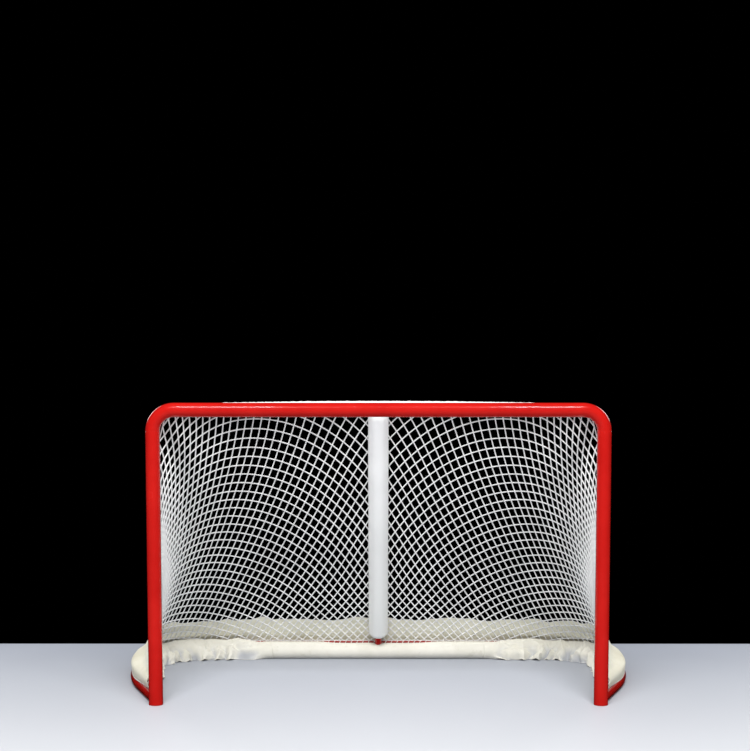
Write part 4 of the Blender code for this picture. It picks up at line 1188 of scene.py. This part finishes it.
def build_covers():
    """Loose canvas over the corners and sides of the base tube, crumpled down onto the ice."""
    start = ROLL_HALF_LENGTH - 0.06
    end = BASE_LENGTH - 0.125
    for side, hand in SIDES:
        seed = 3.0 if side < 0 else 11.0

        def place(u, v):
            """Point of the cover, u along the tube and v from behind its crest to the ice."""
            s = start + (end - start) * u
            offset, z, loosened = cover_section(s, v, start, end, seed)
            # Folds stand square to the cover, and fade out at its crest and its foot
            edge = smooth_step(v / 0.3) * (1 - 0.45 * smooth_step((v - 0.8) / 0.2))
            height = crumple(s, v, seed) * (0.1 + 0.9 * loosened) * edge
            slope = math.pi * (0.25 + 0.25 * (1 - v))
            offset -= CRUMPLE_HEIGHT * height * math.cos(slope)
            z += CRUMPLE_HEIGHT * height * math.sin(slope)
            # Neither the ice nor the tube is touched
            z = max(z, COVER_LEAST_Z)
            grow = (BASE_RADIUS + COVER_LEAST_GAP) / math.hypot(offset, z - BASE_RADIUS)
            if grow > 1:
                offset = offset * grow
                z = BASE_RADIUS + (z - BASE_RADIUS) * grow
            x, y = base_plan(s, offset)
            return Vector((side * x, y, z))

        def shade_and_darkening(u, v):
            """Painted shade deep in the cover's folds, from 0 to 1."""
            s = start + (end - start) * u
            loosened = cover_section(s, v, start, end, seed)[2]
            deep = limited((0.1 - crumple(s, v, seed)) * 1.3)
            return deep * loosened * smooth_step((v - 0.2) / 0.35)

        shape = cloth_grid(320, 44, place, (end - start, 0.21), shade_and_darkening)
        node = hand + "_corner_cover"
        cover, area = add_canvas(hand + "_corner_canvas", node, shape, DUCK_CANVAS)


def net_skin(knots, places):
    """Rule that gives the net's offset from the base tube at an arc length and a height."""
    sampled_height, sampled_reach, blur = 0.34, 0.4, 0.024
    low_knots = [index for index in knots.values() if places[index][2] < sampled_height]
    samples = places[low_knots]
    stations = np.linspace(0, BASE_LENGTH - BASE_ROD_START, 120)
    heights = np.linspace(NET_BASE_Z, 0.22, 8)
    table = np.zeros((len(stations), len(heights)))
    # Mean offset of the knots round each place, weighed by nearness
    for i, s in enumerate(stations):
        out = np.array(base_outwards(s))
        away = samples - np.array((*base_plan(s), 0.0))
        outwards = away @ out
        beside = away @ np.array((-out[1], out[0], 0.0))
        for j, z in enumerate(heights):
            above = samples[:, 2] - z
            weight = np.exp(-(beside**2 + above**2) / (2 * blur**2)) + 1e-12
            weight = weight * (np.abs(outwards) < sampled_reach)
            table[i, j] = np.sum(weight * outwards) / np.sum(weight)
    kernel = np.array((1, 2, 3, 2, 1)) / 9
    for j, z in enumerate(heights):
        share = min(1.0, (z - NET_BASE_Z) / 0.03)
        table[:, j] = table[:, j] * share + BASE_ROD_OFFSET * (1 - share)
        padded = np.concatenate([table[2:0:-1, j], table[:, j], table[-2:-4:-1, j]])
        table[:, j] = np.convolve(padded, kernel, mode="valid")

    def offset_at(s, z):
        """Offset of the net's surface at a place above the base tube."""
        i = np.interp(s, stations, np.arange(len(stations)))
        j = np.interp(z, heights, np.arange(len(heights)))
        i0, j0 = min(int(i), len(stations) - 2), min(int(j), len(heights) - 2)
        fi, fj = i - i0, j - j0
        row = table[i0] * (1 - fi) + table[i0 + 1] * fi
        return row[j0] * (1 - fj) + row[j0 + 1] * fj

    return offset_at


def build_skirts(knots, places):
    """Canvas outside the foot of the net, from a corded hem on the base tube to a free top edge."""
    offset_at = net_skin(knots, places)
    end_s = BASE_LENGTH - 0.10
    spans = [("rear_skirt", "rear", 0.0, REAR_RUN, 0)]
    for side, hand in SIDES:
        spans.append((hand + "_skirt", hand, REAR_RUN, end_s, side))
    for node, hand, start, end, side in spans:

        def place(u, v):
            """Point of the skirt, u along the base tube and v from its hem to its top edge."""
            if side == 0:
                s = end * (2 * u - 1)
                half = 1 if s >= 0 else -1
                s = abs(s)
            else:
                s = start + (end - start) * u
                half = side
            # Slow waves of the top edge, and the small puckers of the tight cloth
            wave = ripple(half * s * 7.0, 1.0, 5.5) * 0.9
            wave += ripple(half * s * 17.0, 2.0, 9.5) * 0.6
            pucker = ripple(half * s * 34.0, v * 5.0, 3.5)
            pucker += 0.9 * ripple(half * s * 70.0, v * 11.0, 6.5)
            if v < SKIRT_RISE:
                reach = BASE_RADIUS + COVER_GAP
                rise = v / SKIRT_RISE
                # The hem sits on the tube's outer side, and rises onto its top near the post
                near_post = smooth_step((s - BASE_LENGTH + 0.42) / 0.3)
                hem_angle = SKIRT_HEM_ANGLE
                hem_angle += (SKIRT_HEM_ANGLE_AT_POST - SKIRT_HEM_ANGLE) * near_post
                hem_offset = reach * math.cos(hem_angle)
                hem_z = BASE_RADIUS + reach * math.sin(hem_angle)
                offset = hem_offset + (SKIRT_WAIST - hem_offset) * math.sin(rise * math.pi / 2)
                offset += 0.0012 * pucker * rise
                z = hem_z + (NET_BASE_Z - hem_z) * rise
            else:
                # Above the rod it leans on the net's outside, more loosely towards its top
                rise = (v - SKIRT_RISE) / (1 - SKIRT_RISE)
                top = SKIRT_TOP_Z + 0.017 * wave
                z = NET_BASE_Z + (top - NET_BASE_Z) * rise
                blend = min(1.0, rise / 0.25)
                loose = 0.003 + 0.005 * (wave + 0.8)
                stand = 0.0058 + (loose if side == 0 else 0.3 * loose) * rise
                stand += 0.0030 * (pucker + 0.35)
                offset = SKIRT_WAIST * (1 - blend) + (offset_at(s, z) + stand) * blend
            x, y = base_plan(s, offset)
            return Vector((half * x, y, z))

        length = (end - start) * (2 if side == 0 else 1)
        name = hand + "_canvas_skirt"
        columns = int(length / 0.006)

        def hem_darkening(u, v):
            """How much darker the canvas is, in blotches towards its hem, from 0 to 1."""
            blotch = 0.55 + 0.5 * ripple(u * length * 7.0, v * 2.0, 4.5)
            return blotch * (1 - smooth_step((v - SKIRT_RISE) / 0.55)) * 0.6

        shape = cloth_grid(columns, 26, place, (length, 0.16), hem_darkening)
        skirt, area = add_canvas(name, node, shape, SKIRT_CANVAS)
        hem = [place(u, 0.0) for u in np.linspace(0, 1, columns)]
        edge = [place(u, 1.0) for u in np.linspace(0, 1, columns)]
        beads = [1 + 0.22 * math.sin(k * 1.9) for k in range(columns)]
        widths = [beads, [0.45] * columns]
        add_cord(hand + "_skirt_hem", [hem, edge], EDGE_CORD_RADIUS, 2, LACE, (), widths)


def build_centre_pad():
    """Vinyl-covered foam round the front and sides of the centre post, laced up its back."""
    low = centre_axis(PAD_LOW_Z)
    high = centre_axis(PAD_HIGH_Z)
    along = (high - low).normalized()
    front = Vector((0, -along.z, along.y))
    length = (high - low).length
    bore = CENTRE_POST_RADIUS + 0.0006
    # Section: out round the foam from one rear edge to the other, and back round the post
    reach = math.pi - math.radians(55)
    section = []
    for angle in np.linspace(-reach, reach, 41):
        foremost = abs(angle) < math.pi / 2
        depth = PAD_FRONT if foremost else CENTRE_POST_RADIUS - 0.0003
        square = 0.86 + 0.14 * math.cos(4 * angle) if foremost else 1.0
        section.append((PAD_HALF_WIDTH * math.sin(angle) * square**0.3, depth * math.cos(angle)))
    for angle in np.linspace(reach, -reach, 25):
        section.append((bore * math.sin(angle), bore * math.cos(angle)))
    count = 150
    outline = [low + Vector((1, 0, 0)) * a + front * f for a, f in section]
    shape = extruded(outline, along * length / count, count)
    for vert in shape.verts:
        rise = (vert.co - low).dot(along)
        axis = low + along * rise
        away = vert.co - axis
        if away.length < bore + 0.002:
            continue
        # Rounded ends, a slightly uneven face, and a sewn line 30 mm from each end
        from_end = min(rise, length - rise)
        rounding = 1 - 0.16 * max(0.0, 1 - from_end / 0.018) ** 2
        swell = 0.02 * ripple(rise * 5, away.x * 20, 1.0)
        swell += 0.008 * ripple(rise * 30, away.x * 40, 4.0)
        hem = -0.02 * math.exp(-((from_end - 0.03) / 0.003) ** 2)
        vert.co = axis + away * min(rounding + swell + hem - 0.015, 1.0)
    lay_cloth(shape, lambda point: ((point - low).x, (point - low).dot(along)))
    mesh = mesh_from(shape, "centre_post_cushion")
    name = "centre_post_cushion"
    pad = add_piece(name, mesh, COATED_VINYL, "white_vinyl", ("centre_post_pad",))
    # Zigzag lacing between the pad's two rear edges
    back = front * (CENTRE_POST_RADIUS + 0.0022)
    sway = Vector((PAD_HALF_WIDTH * 0.72, 0, 0))
    heights = np.arange(0.16, 1.15, 0.058)
    zigzag = [centre_axis(z) - back + sway * (1 if k % 2 else -1) for k, z in enumerate(heights)]
    fine = []
    for p, q in zip(zigzag, zigzag[1:]):
        fine += [p.lerp(q, share) for share in np.linspace(0, 1, 6, endpoint=False)]
    fine += zigzag[-1:]
    add_cord("pad_binding", [fine], PAD_LACE_RADIUS, 2, LACE, ("centre_pad_lacing",))


def build_sockets():
    """Peg sockets keep their CAD shape and take the zinc finish."""
    for _, hand in SIDES:
        socket = frame["nodes"][hand + "_peg_socket"]
        socket.data.materials.clear()
        socket.data.materials.append(ZINC)


# Stage

PHOTO_WIDTH = 750


def build_stage():
    """Pale floor that ends behind the goal, painted darker towards its back edge as light falls
    off, dark beyond it, and soft studio light.
    """
    shape = bmesh.new()
    bmesh.ops.create_grid(shape, x_segments=1, y_segments=1, size=1)
    back = 1.44 + TO_FRAME.translation.y
    reach = 14.0
    for vert in shape.verts:
        vert.co.x *= reach
        vert.co.y = back if vert.co.y > 0 else -reach
        vert.co.z = -0.0006
    mesh = bpy.data.meshes.new("floor")
    shape.to_mesh(mesh)
    shape.free()
    floor = bpy.data.objects.new("floor", mesh)
    COLLECTION.link(floor)
    material, tree, shader, place = new_material("pale_floor")
    split = add_node(tree, "ShaderNodeSeparateXYZ", None, {"Vector": place})
    # Painted falloff of light: the floor's colour darkens from the front to its back edge
    depth = mapped(tree, split.outputs["Y"], -1.5, back, 1.0, 0.0)
    colour = two_tone(tree, depth, 0.0, 1.0, "A0A5B0", "C4C6CA")
    fill_inputs(tree, shader, {"Base Color": colour, "Roughness": 0.55})
    mesh.materials.append(material)
    floor.visible_glossy = False
    floor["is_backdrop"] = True

    world = bpy.data.worlds.new("studio")
    bpy.context.scene.world = world
    world.use_nodes = True
    tree = world.node_tree
    tree.nodes.clear()
    path = add_node(tree, "ShaderNodeLightPath")
    seen = add_node(tree, "ShaderNodeMath", {"operation": "MAXIMUM"}, {
        0: path.outputs["Is Camera Ray"], 1: path.outputs["Is Glossy Ray"],
    })
    seen = add_node(tree, "ShaderNodeMath", {"operation": "MAXIMUM"}, {
        0: seen.outputs["Value"], 1: path.outputs["Is Transmission Ray"],
    })
    soft = add_node(tree, "ShaderNodeBackground", None, {"Color": srgb("F2F4F8"), "Strength": 0.30})
    dark = add_node(tree, "ShaderNodeBackground", None, {"Color": srgb("000000"), "Strength": 0.0})
    mix = add_node(tree, "ShaderNodeMixShader", None, {
        0: seen.outputs["Value"], 1: soft.outputs["Background"], 2: dark.outputs["Background"],
    })
    add_node(tree, "ShaderNodeOutputWorld", None, {"Surface": mix.outputs["Shader"]})


def add_softbox(name, location, target, size, power, mirrored=True):
    """A rectangular softbox aimed at a point."""
    lamp = bpy.data.lights.new(name, "AREA")
    lamp.shape = "RECTANGLE"
    lamp.size, lamp.size_y = size
    lamp.energy = power
    box = bpy.data.objects.new(name, lamp)
    box.visible_glossy = mirrored
    box.location = location
    box.rotation_euler = (Vector(target) - Vector(location)).to_track_quat("-Z", "Y").to_euler()
    COLLECTION.link(box)


def build_lights():
    """A wide softbox overhead, two small ones that streak the crossbar, and weak fills."""
    add_softbox("canopy", (0, -8.0, 10.0), (0, 0, 0.4), (7.0, 4.0), 1900, mirrored=False)
    add_softbox("front_fill", (0, -8.5, 3.2), (0, 0, 0.7), (4.0, 2.0), 130, mirrored=False)
    add_softbox("left_streak", (-1.0, -3.13, 4.3), (0, -0.5, 1.25), (0.75, 0.22), 40)
    add_softbox("right_streak", (1.09, -3.13, 4.3), (0, -0.5, 1.25), (0.55, 0.22), 34)
    add_softbox("back_left", (-3.4, 3.6, 2.6), (0, 0, 0.6), (1.6, 1.6), 30)
    add_softbox("back_right", (3.4, 3.6, 2.6), (0, 0, 0.6), (1.6, 1.6), 30)


def build_camera():
    """Camera at a standing viewer's height before the mouth, framed as the photograph is."""
    camera = bpy.data.cameras.new("camera")
    camera.sensor_width = 36
    # Focal length, and the rows of the lens's axis and of the frame's middle, in the photo's pixels
    focal, axis_row, middle_row = 1600, 504, 375.5
    camera.lens = 36 * focal / PHOTO_WIDTH
    camera.shift_y = (axis_row - middle_row) / PHOTO_WIDTH
    camera.clip_end = 60
    view = bpy.data.objects.new("camera", camera)
    view.location = TO_FRAME @ Vector((-0.005, -VIEWER_DISTANCE, 1.48))
    view.rotation_euler = (math.radians(90 - 5.33), 0, math.radians(0.08))
    COLLECTION.link(view)
    bpy.context.scene.camera = view


build_posts()
build_base_tubes()
build_shelf_tubes()
build_centre_post()
build_welds()
build_rods()
NET_KNOTS, NET_PLACES = build_net()
build_top_netting()
build_lacing()
build_roll()
build_covers()
build_skirts(NET_KNOTS, NET_PLACES)
build_centre_pad()
build_sockets()
build_stage()
build_lights()
build_camera()
bpy.context.scene.view_settings.view_transform = "Standard"

boxes = {"cad": cad_box, "visual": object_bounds()}
{name: [list(map(float, c)) for c in box] for name, box in boxes.items()}
